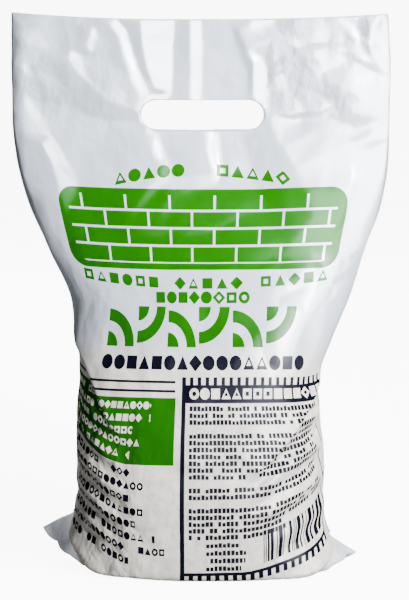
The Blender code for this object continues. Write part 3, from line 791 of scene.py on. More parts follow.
@dataclass(frozen=True)
class ReliefZones:
    """Where on the flat film its creases and crumples show, in millimetres.

    A span gives where an effect begins and where it is full.

    Attributes:
        together: Along, from two separate panels to two layers that lie together.
        top_creases: Factor for the creases of the flat top.
        top_crumples: The crumples that the two layers share.
        right_corner: Across, to the crushed top right corner.
        left_corner: Across, to the less crushed top left corner.
        left_share: How crushed the left corner is, against the right one.
        corner_along: Along, to both corners.
        calm: Share of the crumples that shows away from the corners.
        slot_margin: How far the slot keeps the film flat.
        over_sole: Along, from the flat sole to the body's front.
        beside_sole: Across, from the flat sole to the ears.
        front_crumple: The crumples of the front below the flat top.
        back_crumple: Those of the back.
        body_creases: Factor for the creases of the body.
        waist_creases: What is added to it at the right of the waist.
        right_waist: Across, to the right of the waist.
        waist_along: Along, to the waist.
    """

    together: Span = (285.0, 335.0)
    top_creases: float = 1.3
    top_crumples: tuple[Crumple, ...] = (Crumple(24.0, 0.9, 5), Crumple(13.0, 0.45, 9))
    right_corner: Span = (35.0, 75.0)
    left_corner: Span = (-35.0, -75.0)
    left_share: float = 0.6
    corner_along: Span = (385.0, 415.0)
    calm: float = 0.25
    slot_margin: float = 12.0
    over_sole: Span = (70.0, 84.0)
    beside_sole: Span = (96.0, 108.0)
    front_crumple: Crumple = Crumple(15.0, 0.45, 21)
    back_crumple: Crumple = Crumple(15.0, 0.45, 33)
    body_creases: float = 1.5
    waist_creases: float = 0.8
    right_waist: Span = (35.0, 65.0)
    waist_along: Span = (70.0, 90.0)


Corner = tuple[int, int]
Grid = list[list[bmesh.types.BMVert]]


@dataclass
class FilmBag:
    """The printed film: one closed skin around the powder.

    Attributes:
        form: The smooth form of the filled bag.
        half_width: Half the width of the flat film, in millimetres.
        columns: Mesh columns across each panel.
        rows: Mesh rows along the film.
        dense_from: Where the finer rows of the crumpled top begin, in millimetres.
        dense_step: How far apart they are, in millimetres.
        groove: How deep the line between the two layers is at the top edge, in millimetres.
        slot_groove: How deep it is around the slot, in millimetres.
        slot_across: Where across the slot's middle is, in millimetres.
        slot_height: Height of the slot's middle on the bag, in millimetres.
    """

    form: BodyForm
    half_width: float = 132.5
    columns: int = 156
    rows: int = 290
    dense_from: float = 318.0
    dense_step: float = 1.3
    groove: float = 2.0
    slot_groove: float = 0.8
    slot_across: float = 1.5
    slot_height: float = 320.5
    slot: HandSlot = field(init=False)

    def __post_init__(self) -> None:
        """Places the hand slot at its level on the film."""
        heights = self.form.points[:, self.form.half_columns, 2]
        level = float(np.interp(self.slot_height, heights, np.arange(len(heights)) * self.form.row_step))
        self.slot = HandSlot(centre=(self.slot_across, level))

    def film_grid(self) -> tuple[np.ndarray, np.ndarray, np.ndarray]:
        """The flat grid of one panel, fitted to the slot: places across, along, and slot sides."""
        fine_rows = round((self.form.length - self.dense_from) / self.dense_step)
        coarse = np.linspace(0.0, self.dense_from, self.rows - fine_rows + 1)
        fine = np.linspace(self.dense_from, self.form.length, fine_rows + 1)
        columns = np.linspace(-self.half_width, self.half_width, self.columns + 1)
        u, v = np.meshgrid(columns, np.concatenate([coarse[:-1], fine]))
        return self.slot.fit(u, v)

    def lay(self, panel: Panel, u: np.ndarray, v: np.ndarray) -> np.ndarray:
        """Lays a panel's grid around the form.

        Args:
            panel: Which panel.
            u: Places across, in millimetres.
            v: Places along, in millimetres.

        Returns:
            The points, in millimetres.
        """
        film = FilmLay(self.form)
        levels, offs = np.zeros_like(u), np.zeros_like(u)
        for column in range(u.shape[1]):
            across = float(np.median(u[:, column])) / self.half_width
            levels[:, column], offs[:, column] = film.column(across, panel, v[:, column])
        across = u / self.half_width
        points = self.form.sample(levels, across)
        step = 2.0
        along = self.form.sample(levels + step, across) - self.form.sample(levels - step, across)
        aside = self.form.sample(levels, across + 0.01) - self.form.sample(levels, across - 0.01)
        out = np.cross(aside, along)
        out /= np.linalg.norm(out, axis=-1, keepdims=True) + 1e-9
        points = points + out * offs[..., None]
        points[:, [0, -1], 1] = 0.0
        points[0, :, 1] = 0.0
        points += out * self.relief(panel, u, v)[..., None]
        points[..., 1] *= -float(panel.value)
        return Stance().apply(points)

    def relief(self, panel: Panel, u: np.ndarray, v: np.ndarray) -> np.ndarray:
        """How far the creased film stands off its smooth lay, in millimetres.

        Args:
            panel: Which panel.
            u: Places across, in millimetres.
            v: Places along, in millimetres.

        Returns:
            The distance, outward positive.
        """
        zones = ReliefZones()
        together = rise(v, *zones.together)
        together = together * together * (3 - 2 * together)
        creases = FacetSheet(TOP_CREASES).height(u, v) * zones.top_creases
        crushed = sum(self.crumpled(crumple, u, v) for crumple in zones.top_crumples)
        corner = rise(u, *zones.right_corner) + zones.left_share * rise(u, *zones.left_corner)
        corner *= rise(v, *zones.corner_along)
        off_slot = np.clip(self.slot.distance(u, v) / zones.slot_margin, 0.1, 1.0)
        top = creases + crushed * (zones.calm + (1.0 - zones.calm) * corner) * off_slot
        edge = rise(np.abs(u), self.half_width, self.half_width - 10.0) * rise(v, 0.0, 8.0)
        off_sole = np.maximum(rise(v, *zones.over_sole), rise(np.abs(u), *zones.beside_sole))
        front = panel is Panel.FRONT
        own = self.crumpled(zones.front_crumple if front else zones.back_crumple, u, v)
        body_u = u if front else -u
        waist = rise(body_u, *zones.right_waist) * rise(v, *zones.waist_along)
        factor = zones.body_creases + zones.waist_creases * waist
        own += FacetSheet(BODY_CREASES).height(body_u, v) * factor
        own *= edge * off_sole
        return together * (top if front else -top) + (1.0 - together) * own

    def crumpled(self, crumple: Crumple, u: np.ndarray, v: np.ndarray) -> np.ndarray:
        """The height of one crumpled sheet, in millimetres."""
        return crumple.sheet(self.half_width, self.form.length).height(u, v)

    def tube_place(self, panel: Panel, u: float, v: float) -> tuple[float, float]:
        """The place on the unrolled film tube, from 0 to 1 each way."""
        round_tube = u if panel is Panel.FRONT else 2 * self.half_width - u
        return (round_tube + self.half_width) / (4 * self.half_width), v / self.form.length

    def build(self) -> bpy.types.Object:
        """Builds the skin.

        Returns:
            The film bag, with its place on the unrolled film tube as a UV map.
        """
        u, v, side = self.film_grid()
        skin = bmesh.new()
        tube = skin.loops.layers.uv.new("film_tube")
        grids = self.panel_grids(skin, u, v)
        cells = self.cells(side)
        for panel, grid in grids.items():
            for cell in cells:
                corners = cell if panel is Panel.FRONT else cell[::-1]
                face = skin.faces.new([grid[i][j] for i, j in corners])
                for loop, (i, j) in zip(face.loops, corners):
                    loop[tube].uv = self.tube_place(panel, u[i, j], v[i, j])
        self.close_rims(skin, tube, grids, self.open_edges(cells), u, v)
        loose = [vertex for vertex in skin.verts if not vertex.link_faces]
        bmesh.ops.delete(skin, geom=loose, context="VERTS")
        mesh = bpy.data.meshes.new("film_skin")
        skin.to_mesh(mesh)
        skin.free()
        mesh.shade_smooth()
        bag = bpy.data.objects.new("printed_film_bag", mesh)
        bpy.context.scene.collection.objects.link(bag)
        return bag

    def panel_grids(self, skin: bmesh.types.BMesh, u: np.ndarray, v: np.ndarray) -> dict[Panel, Grid]:
        """Makes the vertices of both panels, which share those of the side folds and the bottom weld.

        Args:
            skin: The mesh being built.
            u: Places across, in millimetres.
            v: Places along, in millimetres.

        Returns:
            The vertices of each panel.
        """
        grids: dict[Panel, Grid] = {}
        for panel in Panel:
            laid = self.lay(panel, u, v) * MM
            grids[panel] = [[skin.verts.new(point) for point in row] for row in laid]
        front, back = grids[Panel.FRONT], grids[Panel.BACK]
        back[0] = front[0]
        for r in range(self.rows + 1):
            back[r][0], back[r][-1] = front[r][0], front[r][-1]
        return grids

    def cells(self, side: np.ndarray) -> list[list[Corner]]:
        """Lists the corners of each face of a panel, with triangles where the slot cuts a cell.

        Args:
            side: Each grid point's side of the slot's edge.

        Returns:
            The corners of each face, as row and column.
        """
        cells = []
        for r in range(self.rows):
            for c in range(self.columns):
                corners = [(r, c), (r, c + 1), (r + 1, c + 1), (r + 1, c)]
                kept = [corner for corner in corners if side[corner] >= 0]
                if len(kept) > 2 and any(side[corner] > 0 for corner in kept):
                    cells.append(kept)
        return cells

    def open_edges(self, cells: list[list[Corner]]) -> list[tuple[Corner, Corner]]:
        """Finds the edges along the slot and the top edge.

        Args:
            cells: The corners of each face.

        Returns:
            The ends of each edge, in the order that a face beyond it takes them.
        """
        edges = {edge for cell in cells for edge in zip(cell, cell[1:] + cell[:1])}
        free = [(a, b) for a, b in edges if (b, a) not in edges]
        shared = (0, self.columns)
        return [
            (b, a) for a, b in free
            if max(a[0], b[0]) > 0 and not (a[1] == b[1] and a[1] in shared)
        ]

    def close_rims(
        self,
        skin: bmesh.types.BMesh,
        tube: bmesh.types.BMLayerItem,
        grids: dict[Panel, Grid],
        edges: list[tuple[Corner, Corner]],
        u: np.ndarray,
        v: np.ndarray,
    ) -> None:
        """Joins the two layers with a narrow groove at the top edge and around the slot.

        Args:
            skin: The mesh being built.
            tube: Its UV layer.
            grids: The vertices of each panel.
            edges: The ends of each edge of the panels along the slot and the top.
            u: Places across, in millimetres.
            v: Places along, in millimetres.
        """
        front, back = grids[Panel.FRONT], grids[Panel.BACK]
        middles: dict[Corner, bmesh.types.BMVert] = {}
        for i, j in {place for edge in edges for place in edge}:
            if i == self.rows:
                inward = Vector((0.0, 0.0, -self.groove * MM))
            else:
                du, dv = self.slot.from_spine(u[i, j], v[i, j])
                inward = Vector((float(du), 0.0, float(dv))).normalized() * (self.slot_groove * MM)
            at = front[i][j].co.lerp(back[i][j].co, 0.5) + inward
            middles[i, j] = front[i][j] if front[i][j] is back[i][j] else skin.verts.new(at)
        for (a, b), (c, d) in edges:
            for panel, grid in grids.items():
                ring = [grid[a][b], grid[c][d], middles[c, d], middles[a, b]]
                places = [(a, b), (c, d), (c, d), (a, b)]
                if panel is Panel.BACK:
                    ring.reverse()
                    places.reverse()
                pairs = [pair for k, pair in enumerate(zip(ring, places)) if pair[0] not in ring[:k]]
                face = skin.faces.new([vert for vert, _ in pairs])
                for loop, (_, (i, j)) in zip(face.loops, pairs):
                    inside = 0.3 if loop.vert is middles[i, j] else 0.0
                    loop[tube].uv = self.tube_place(panel, u[i, j], v[i, j] - inside)


Socket = bpy.types.NodeSocket
SocketValue = bpy.types.NodeSocket | float | tuple


@dataclass
class NodeDesk:
    """Places and wires nodes in one tree.

    Attributes:
        tree: The node tree that is worked on.
    """

    tree: bpy.types.NodeTree

    def add(self, kind: str, **settings: object) -> bpy.types.Node:
        """Adds a node and sets its options."""
        node = self.tree.nodes.new(kind)
        for name, value in settings.items():
            setattr(node, name, value)
        return node

    def feed(self, socket: Socket, value: SocketValue) -> None:
        """Links or sets one input."""
        if isinstance(value, bpy.types.NodeSocket):
            self.tree.links.new(value, socket)
        else:
            socket.default_value = value

    def math(self, operation: str, *values: SocketValue, clamp: bool = False) -> Socket:
        """Adds a Math node and gives its result."""
        node = self.add("ShaderNodeMath", operation=operation, use_clamp=clamp)
        for socket, value in zip(node.inputs, values):
            self.feed(socket, value)
        return node.outputs[0]

    def chain(self, operation: str, values: tuple[SocketValue, ...]) -> Socket:
        """Joins values one after the other by the same operation."""
        joined = values[0]
        for value in values[1:]:
            joined = self.math(operation, joined, value)
        return joined

    def times(self, *values: SocketValue) -> Socket:
        """Multiplies values."""
        return self.chain("MULTIPLY", values)

    def plus(self, *values: SocketValue) -> Socket:
        """Adds values up."""
        return self.chain("ADD", values)

    def most(self, *values: SocketValue) -> Socket:
        """Gives the greatest value."""
        return self.chain("MAXIMUM", values)

    def minus(self, value: SocketValue, less: SocketValue) -> Socket:
        """Takes one value from another."""
        return self.math("SUBTRACT", value, less)

    def over(self, value: SocketValue, divisor: SocketValue) -> Socket:
        """Divides one value by another."""
        return self.math("DIVIDE", value, divisor)

    def scaled(self, value: SocketValue, factor: SocketValue, offset: SocketValue) -> Socket:
        """Multiplies a value by a factor and adds an offset."""
        return self.math("MULTIPLY_ADD", value, factor, offset)

    def above(self, value: SocketValue, least: SocketValue) -> Socket:
        """Gives 1 where a value is above another."""
        return self.math("GREATER_THAN", value, least)

    def below(self, value: SocketValue, most: SocketValue) -> Socket:
        """Gives 1 where a value is below another."""
        return self.math("LESS_THAN", value, most)

    def size(self, value: SocketValue) -> Socket:
        """Gives a value without its sign."""
        return self.math("ABSOLUTE", value)

    def far(self, x: Socket, y: Socket) -> Socket:
        """Gives the distance of a point from the origin."""
        return self.math("SQRT", self.plus(self.times(x, x), self.times(y, y)))

    def cells(self, value: SocketValue, step: SocketValue) -> tuple[Socket, Socket]:
        """Gives the number of the cell that a value lies in, and how far through it, from 0 to 1."""
        at = self.over(value, step)
        return self.math("FLOOR", at), self.math("FRACT", at)

    def blend(self, share: SocketValue, low: SocketValue, high: SocketValue) -> Socket:
        """Mixes two colours and gives the result."""
        node = self.add("ShaderNodeMix", data_type="RGBA")
        self.feed(node.inputs["Factor"], share)
        for name, colour in (("A", low), ("B", high)):
            self.feed(node.inputs[name], (*colour, 1.0) if isinstance(colour, tuple) else colour)
        return node.outputs["Result"]

    def ramp(self, value: SocketValue, low: float, high: float) -> Socket:
        """Maps low to 0 and high to 1, smoothly."""
        node = self.add("ShaderNodeMapRange", interpolation_type="SMOOTHSTEP")
        for name, given in (("Value", value), ("From Min", low), ("From Max", high)):
            self.feed(node.inputs[name], given)
        return node.outputs["Result"]

    def noise(self, vector: SocketValue, scale: float, detail: float, output: str = "Fac") -> Socket:
        """Adds a noise texture and gives one of its outputs."""
        node = self.add("ShaderNodeTexNoise")
        for name, given in (("Vector", vector), ("Scale", scale), ("Detail", detail)):
            self.feed(node.inputs[name], given)
        return node.outputs[output]

    def vector(self, *values: SocketValue) -> Socket:
        """Joins values to a vector."""
        node = self.add("ShaderNodeCombineXYZ")
        for socket, value in zip(node.inputs, values):
            self.feed(socket, value)
        return node.outputs["Vector"]

    def parts(self, vector: Socket) -> tuple[Socket, Socket, Socket]:
        """Splits a vector."""
        node = self.add("ShaderNodeSeparateXYZ")
        self.feed(node.inputs["Vector"], vector)
        return tuple(node.outputs)

    def bump(self, height: Socket) -> Socket:
        """Turns a height in millimetres into a normal."""
        node = self.add("ShaderNodeBump")
        for name, given in (("Height", height), ("Strength", 1.0), ("Distance", MM)):
            self.feed(node.inputs[name], given)
        return node.outputs["Normal"]

    def use(self, group: bpy.types.NodeTree, **values: SocketValue) -> Socket:
        """Places a node group, inputs by name with _ for a space, and gives its first output."""
        node = self.add("ShaderNodeGroup", node_tree=group)
        for name, value in values.items():
            self.feed(node.inputs[name.replace("_", " ")], value)
        return node.outputs[0]


@dataclass
class NodeGroup:
    """A new shader node group with number inputs, vector inputs and one output.

    Attributes:
        name: Its name.
        result: The name of its output.
        numbers: Names of its number inputs.
        vectors: Names of its vector inputs.
    """

    name: str
    result: str
    numbers: tuple[str, ...]
    vectors: tuple[str, ...] = ()

    def __post_init__(self) -> None:
        """Makes the sockets, a desk to work on, and the inputs by name."""
        tree = bpy.data.node_groups.new(self.name, "ShaderNodeTree")
        for label in self.numbers:
            tree.interface.new_socket(name=label, in_out="INPUT", socket_type="NodeSocketFloat")
        for label in self.vectors:
            tree.interface.new_socket(name=label, in_out="INPUT", socket_type="NodeSocketVector")
        tree.interface.new_socket(name=self.result, in_out="OUTPUT", socket_type="NodeSocketFloat")
        self.desk = NodeDesk(tree)
        self.given = self.desk.add("NodeGroupInput").outputs
        self.out = self.desk.add("NodeGroupOutput")

    def finish(self, value: Socket) -> bpy.types.NodeTree:
        """Puts out the result and gives the group's tree."""
        self.desk.feed(self.out.inputs[self.result], value)
        return self.desk.tree


def new_material(
    name: str, **settings: SocketValue
) -> tuple[bpy.types.Material, NodeDesk, bpy.types.NodeInputs]:
    """Starts a material.

    Args:
        name: Its name.
        settings: Values of the Principled shader's inputs, with _ for a space.

    Returns:
        The material, a desk on its nodes, and the Principled shader's inputs.
    """
    material = bpy.data.materials.new(name)
    material.use_nodes = True
    inputs = material.node_tree.nodes["Principled BSDF"].inputs
    for label, value in settings.items():
        inputs[label.replace("_", " ")].default_value = value
    return material, NodeDesk(material.node_tree), inputs


class Block(NamedTuple):
    """Where a point lies in its block of a printed row.

    down is its distance from the row's top in millimetres, across how far it is through the block
    from 0 to 1, dice are three random numbers of the block, and shown is 1 where it is printed.
    """

    down: Socket
    across: Socket
    dice: tuple[Socket, ...]
    shown: Socket


BOX = ("Left", "Right", "Bottom", "Top")


@dataclass(frozen=True)
class PrintPress:
    """The node groups that the print is made of. Lengths are in film millimetres.

    Attributes:
        edge: How soft the edge of the ink is.
        rows_ragged: The longest part left out at the end of a row of blocks, as a multiple of the
            gap share and the pitch.
        ornaments_ragged: The same for a row of ornaments.
    """

    edge: float = 0.35
    rows_ragged: float = 48.0
    ornaments_ragged: float = 44.0

    def box_group(self) -> bpy.types.NodeTree:
        """Builds the group that prints one bar with round corners."""
        group = NodeGroup("print_bar", "Ink", ("Across", "Along", *BOX, "Corner"))
        desk, given = group.desk, group.given
        reach = []
        for place, low, high in (("Across", "Left", "Right"), ("Along", "Bottom", "Top")):
            middle = desk.times(desk.plus(given[low], given[high]), 0.5)
            half = desk.times(desk.minus(given[high], given[low]), 0.5)
            away = desk.size(desk.minus(given[place], middle))
            reach.append(desk.plus(desk.minus(away, half), given["Corner"]))
        outside = desk.far(*(desk.most(value, 0.0) for value in reach))
        inside = desk.math("MINIMUM", desk.most(*reach), 0.0)
        distance = desk.minus(desk.plus(outside, inside), given["Corner"])
        return group.finish(desk.math("SUBTRACT", 0.5, desk.over(distance, self.edge), clamp=True))

    def window(self, group: NodeGroup, right: Socket) -> Socket:
        """Gives 1 inside the group's box, which ends at right."""
        desk, given = group.desk, group.given
        return desk.times(
            desk.above(given["Across"], given["Left"]),
            desk.below(given["Across"], right),
            desk.above(given["Along"], given["Bottom"]),
            desk.below(given["Along"], given["Top"]),
        )

    def start_rows(self, name: str, ragged: float) -> tuple[NodeGroup, Block]:
        """Starts a group that prints rows.

        Args:
            name: The group's name.
            ragged: The longest part left out at a row's end, as for rows_ragged.

        Returns:
            The group, and the place in the block.
        """
        inputs = ("Across", "Along", *BOX, "Row Pitch", "Row Height", "Pitch", "Gap", "Seed")
        group = NodeGroup(name, "Ink", inputs)
        desk, given = group.desk, group.given
        row, down = desk.cells(desk.minus(given["Top"], given["Along"]), given["Row Pitch"])
        block, across = desk.cells(desk.minus(given["Across"], given["Left"]), given["Pitch"])
        white = desk.add("ShaderNodeTexWhiteNoise", noise_dimensions="3D")
        desk.feed(white.inputs["Vector"], desk.vector(block, row, given["Seed"]))
        colour = desk.add("ShaderNodeSeparateColor")
        desk.feed(colour.inputs["Color"], white.outputs["Color"])
        dice = tuple(colour.outputs)
        row_dice = desk.add("ShaderNodeTexWhiteNoise", noise_dimensions="2D")
        desk.feed(row_dice.inputs["Vector"], desk.vector(row, given["Seed"]))
        left_out = desk.times(row_dice.outputs["Value"], given["Pitch"], given["Gap"], ragged)
        window = self.window(group, desk.minus(given["Right"], left_out))
        shown = desk.times(desk.above(dice[0], given["Gap"]), window)
        return group, Block(desk.times(down, given["Row Pitch"]), across, dice, shown)

    def rows_group(self) -> bpy.types.NodeTree:
        """Builds the group that prints rows of small blocks with gaps, as plain filler."""
        group, at = self.start_rows("filler_rows", self.rows_ragged)
        desk, given = group.desk, group.given
        width = desk.scaled(at.dice[1], 0.12, 0.87)
        height = given["Row Height"]
        tall = desk.times(height, desk.scaled(desk.above(at.dice[2], 0.6), -0.2, 1.0))
        sharp_across, sharp_down = desk.over(given["Pitch"], self.edge), 1 / self.edge
        sides = (
            (desk.minus(width, at.across), sharp_across),
            (at.across, sharp_across),
            (desk.minus(height, at.down), sharp_down),
            (desk.minus(at.down, desk.minus(height, tall)), sharp_down),
        )
        inks = [desk.math("MULTIPLY", inward, sharp, clamp=True) for inward, sharp in sides]
        return group.finish(desk.times(at.shown, *inks))

    def ornament_group(self) -> bpy.types.NodeTree:
        """Builds the group that prints rows of discs, squares, lozenges, triangles and rings."""
        group, at = self.start_rows("ornament_rows", self.ornaments_ragged)
        desk, given = group.desk, group.given
        height, pitch = given["Row Height"], given["Pitch"]
        y = desk.minus(1.0, desk.over(desk.times(at.down, 2.0), height))
        wide = desk.math("MINIMUM", height, desk.times(pitch, 0.9))
        x = desk.over(desk.times(desk.size(desk.minus(at.across, 0.5)), pitch, 2.0), wide)
        up = desk.size(y)
        square = desk.over(desk.most(x, up), 0.9)
        lozenge = desk.over(desk.plus(x, up), 1.15)
        slope = desk.plus(x, desk.times(y, 0.52))
        triangle = desk.most(desk.over(slope, 0.5), desk.times(y, -1.1))
        shape = desk.far(x, y)
        for least, other in ((0.28, square), (0.62, lozenge), (0.80, triangle)):
            chosen = desk.above(at.dice[1], least)
            shape = desk.plus(shape, desk.times(chosen, desk.minus(other, shape)))
        hole = desk.times(desk.above(at.dice[2], 0.6), desk.below(shape, 0.42))
        return group.finish(desk.times(at.shown, desk.minus(desk.below(shape, 1.0), hole)))

    def comb_group(self) -> bpy.types.NodeTree:
        """Builds the group that prints a row of teeth."""
        group = NodeGroup("print_comb", "Ink", ("Across", "Along", *BOX, "Pitch", "Tooth"))
        desk, given = group.desk, group.given
        _, through = desk.cells(desk.minus(given["Across"], given["Left"]), given["Pitch"])
        tooth = desk.below(through, given["Tooth"])
        return group.finish(desk.times(tooth, self.window(group, given["Right"])))


class Ink(Enum):
    """The inks on the film."""

    GREEN = (0.005, 0.095, 0.0)
    NAVY = (0.003, 0.003, 0.008)


@dataclass
class PrintedDesign:
    """The plain generic design on the front of the bag, in flat film millimetres.

    A box is left, right, bottom and top.

    Attributes:
        desk: Where the nodes go.
        across: The place across the front panel.
        along: The place along the film.
    """

    desk: NodeDesk
    across: Socket
    along: Socket

    def __post_init__(self) -> None:
        """Makes the node groups that the design is printed with."""
        press = PrintPress()
        self.bars, self.rows, self.combs = press.box_group(), press.rows_group(), press.comb_group()
        self.ornaments = press.ornament_group()

    def press(
        self, group: bpy.types.NodeTree, box: tuple[float, ...], along: Socket, **values: float
    ) -> Socket:
        """Prints with one group.

        Args:
            group: The group.
            box: Where it prints.
            along: The place along the film.
            values: The group's other inputs.

        Returns:
            The ink mask.
        """
        return self.desk.use(group, Across=self.across, Along=along, **dict(zip(BOX, box)), **values)

    def bar(self, left: float, right: float, bottom: float, top: float, corner: float = 0.0) -> Socket:
        """Prints one bar, with round corners if it has a corner radius."""
        return self.press(self.bars, (left, right, bottom, top), self.along, Corner=corner)

    def filler(
        self,
        box: tuple[float, float, float, float],
        row: tuple[float, float],
        pitch: float,
        gap: float = 0.0,
        seed: float = 0.0,
        shapes: bool = True,
        bend: float = 0.0,
    ) -> Socket:
        """Prints rows of small blocks or shapes.

        Args:
            box: Where the rows are.
            row: From one row to the next, and the height of a row.
            pitch: From one block to the next.
            gap: Share of the blocks that are left out.
            seed: Chooses which.
            shapes: Whether the blocks are discs, squares, lozenges and triangles.
            bend: How far the row drops 100 mm from the middle.

        Returns:
            The ink mask.
        """
        along = self.along
        if bend:
            along = self.desk.plus(along, self.desk.times(self.across, self.across, bend / 100**2))
        group = self.ornaments if shapes else self.rows
        layout = {"Row_Pitch": row[0], "Row_Height": row[1], "Pitch": pitch, "Gap": gap, "Seed": seed}
        return self.press(group, box, along, **layout)

    def comb(self, box: tuple[float, float, float, float], pitch: float, tooth: float) -> Socket:
        """Prints a row of teeth, of which tooth is the printed share of the pitch."""
        return self.press(self.combs, box, self.along, Pitch=pitch, Tooth=tooth)

    def without(self, ink: Socket, hole: Socket) -> Socket:
        """Cuts one mask out of another."""
        return self.desk.times(ink, self.desk.minus(1.0, hole))

    def brick_panel(self) -> Socket:
        """Prints the panel with a plain running bond of bricks."""
        left, right, bottom, top, corner = -106.0, 105.0, 291.0, 349.0, 13.0
        margin_side, margin_end, inner_corner, first_bed = 7.0, 4.6, 8.0, 3.8
        course, brick, joint = 12.6, 33.0, 1.7
        desk = self.desk
        panel = self.bar(left, right, bottom, top, corner)
        inner = self.bar(
            left + margin_side, right - margin_side, bottom + margin_end, top - margin_end, inner_corner
        )
        number, up = desk.cells(desk.minus(self.along, bottom + first_bed), course)
        shift = desk.times(desk.math("MODULO", number, 2.0), 0.5)
        side = desk.math("FRACT", desk.plus(desk.over(desk.minus(self.across, left), brick), shift))
        joints = desk.most(desk.below(up, joint / course), desk.below(side, joint / brick))
        return self.without(panel, desk.times(joints, inner))

    def arch_tiles(self) -> Socket:
        """Prints the row of tiles with quarter rings."""
        left, right, bottom, top = -78.0, 76.0, 235.5, 264.5
        count, tile, ring, half_ring, core = 6, 0.94, 0.76, 0.15, 0.36
        desk = self.desk
        number, x = desk.cells(desk.minus(self.across, left), (right - left) / count)
        up = desk.over(desk.minus(self.along, bottom), top - bottom)
        y = desk.size(desk.minus(up, desk.math("MODULO", number, 2.0)))
        far = desk.far(x, y)
        rings = desk.most(desk.below(desk.size(desk.minus(far, ring)), half_ring), desk.below(far, core))
        return desk.times(rings, desk.below(x, tile), self.bar(left, right, bottom, top))

    def green(self) -> Socket:
        """Prints what is green."""
        desk = self.desk
        block = self.bar(-140.0, -18.5, 153.0, 200.0)
        words = self.filler((-128.0, -22.0, 154.4, 197.2), (8.7, 5.4), 5.0, gap=0.16, seed=3.0)
        upper = self.filler((-63.0, 63.0, 357.8, 367.6), (14.0, 9.4), 10.5, seed=8.0, bend=20.0)
        lower = self.filler((-99.0, 99.0, 276.8, 285.6), (14.0, 8.6), 11.0, seed=4.0, bend=-5.0)
        upper_spans = [self.bar(left, left + 52.5, 340.0, 370.0) for left in (-63.0, 10.5)]
        lower_ends = ((-99.0, -33.0), (-22.0, 33.0), (44.0, 99.0))
        lower_spans = [self.bar(left, right, 270.0, 292.0) for left, right in lower_ends]
        return desk.most(
            self.brick_panel(),
            self.arch_tiles(),
            self.without(block, words),
            self.filler((-38.0, 38.0, 266.4, 275.6), (12.0, 9.0), 9.5, seed=5.0),
            desk.times(upper, desk.most(*upper_spans)),
            desk.times(lower, desk.most(*lower_spans)),
        )

    def navy(self) -> Socket:
        """Prints what is nearly black."""
        left, right = -14.0, 107.0
        rules = ((210.2, 212.0), (203.8, 205.6))
        paragraphs = (
            (103.0, 180.7, 195.5), (103.0, 142.8, 176.1), (95.0, 128.5, 138.1),
            (103.0, 109.5, 123.8), (62.0, 100.2, 109.6),
        )
        band = self.bar(left, right, 196.4, 209.2)
        band_words = self.filler((-8.5, 104.0, 198.6, 207.0), (12.0, 8.0), 8.2, seed=7.0)
        small_rows = self.filler(
            (-8.0, 102.5, 100.0, 194.6), (4.75, 3.9), 2.9, gap=0.1, seed=13.0, shapes=False
        )
        shown = self.desk.most(*(self.bar(-9.0, *paragraph) for paragraph in paragraphs))
        return self.desk.most(
            *(self.bar(-140.0, -19.0, *rule) for rule in rules),
            self.bar(left, -10.8, 73.0, 214.5),
            self.without(band, band_words),
            self.comb((left, right, 209.0, 214.6), 6.1, 0.46),
            self.bar(right - 1.9, right, 75.0, 198.0),
            self.bar(left, right, 74.4, 76.8),
            self.comb((left, right, 69.6, 75.0), 6.1, 0.52),
            self.filler((-80.5, 83.5, 218.6, 229.8), (14.0, 10.6), 10.25, seed=12.0),
            self.desk.times(small_rows, shown),
            self.filler((4.0, 38.0, 76.5, 98.6), (5.6, 4.0), 2.9, gap=0.08, seed=31.0, shapes=False),
            self.filler((-124.0, -20.0, 77.0, 150.0), (9.3, 5.7), 5.0, gap=0.14, seed=37.0),
            self.stripes(),
        )

    def stripes(self) -> Socket:
        """Prints the block of upright stripes, in an arbitrary rhythm."""
        stripes_per_mm, bare_share = 1.35, 0.33
        desk = self.desk
        dice = desk.add("ShaderNodeTexWhiteNoise", noise_dimensions="1D")
        desk.feed(dice.inputs["W"], desk.math("FLOOR", desk.scaled(self.across, stripes_per_mm, 40.0)))
        stripe = desk.above(dice.outputs["Value"], bare_share)
        return desk.times(stripe, self.bar(44.0, 103.0, 80.5, 104.0))


class Facets(NamedTuple):
    """One layer of the film's crinkle.

    metric is how the facets are shaped, size is their usual size in millimetres, slope how high
    they are against their size, and turned moves and turns the layer, in millimetres and degrees.
    """

    metric: str
    size: float
    slope: float
    turned: float


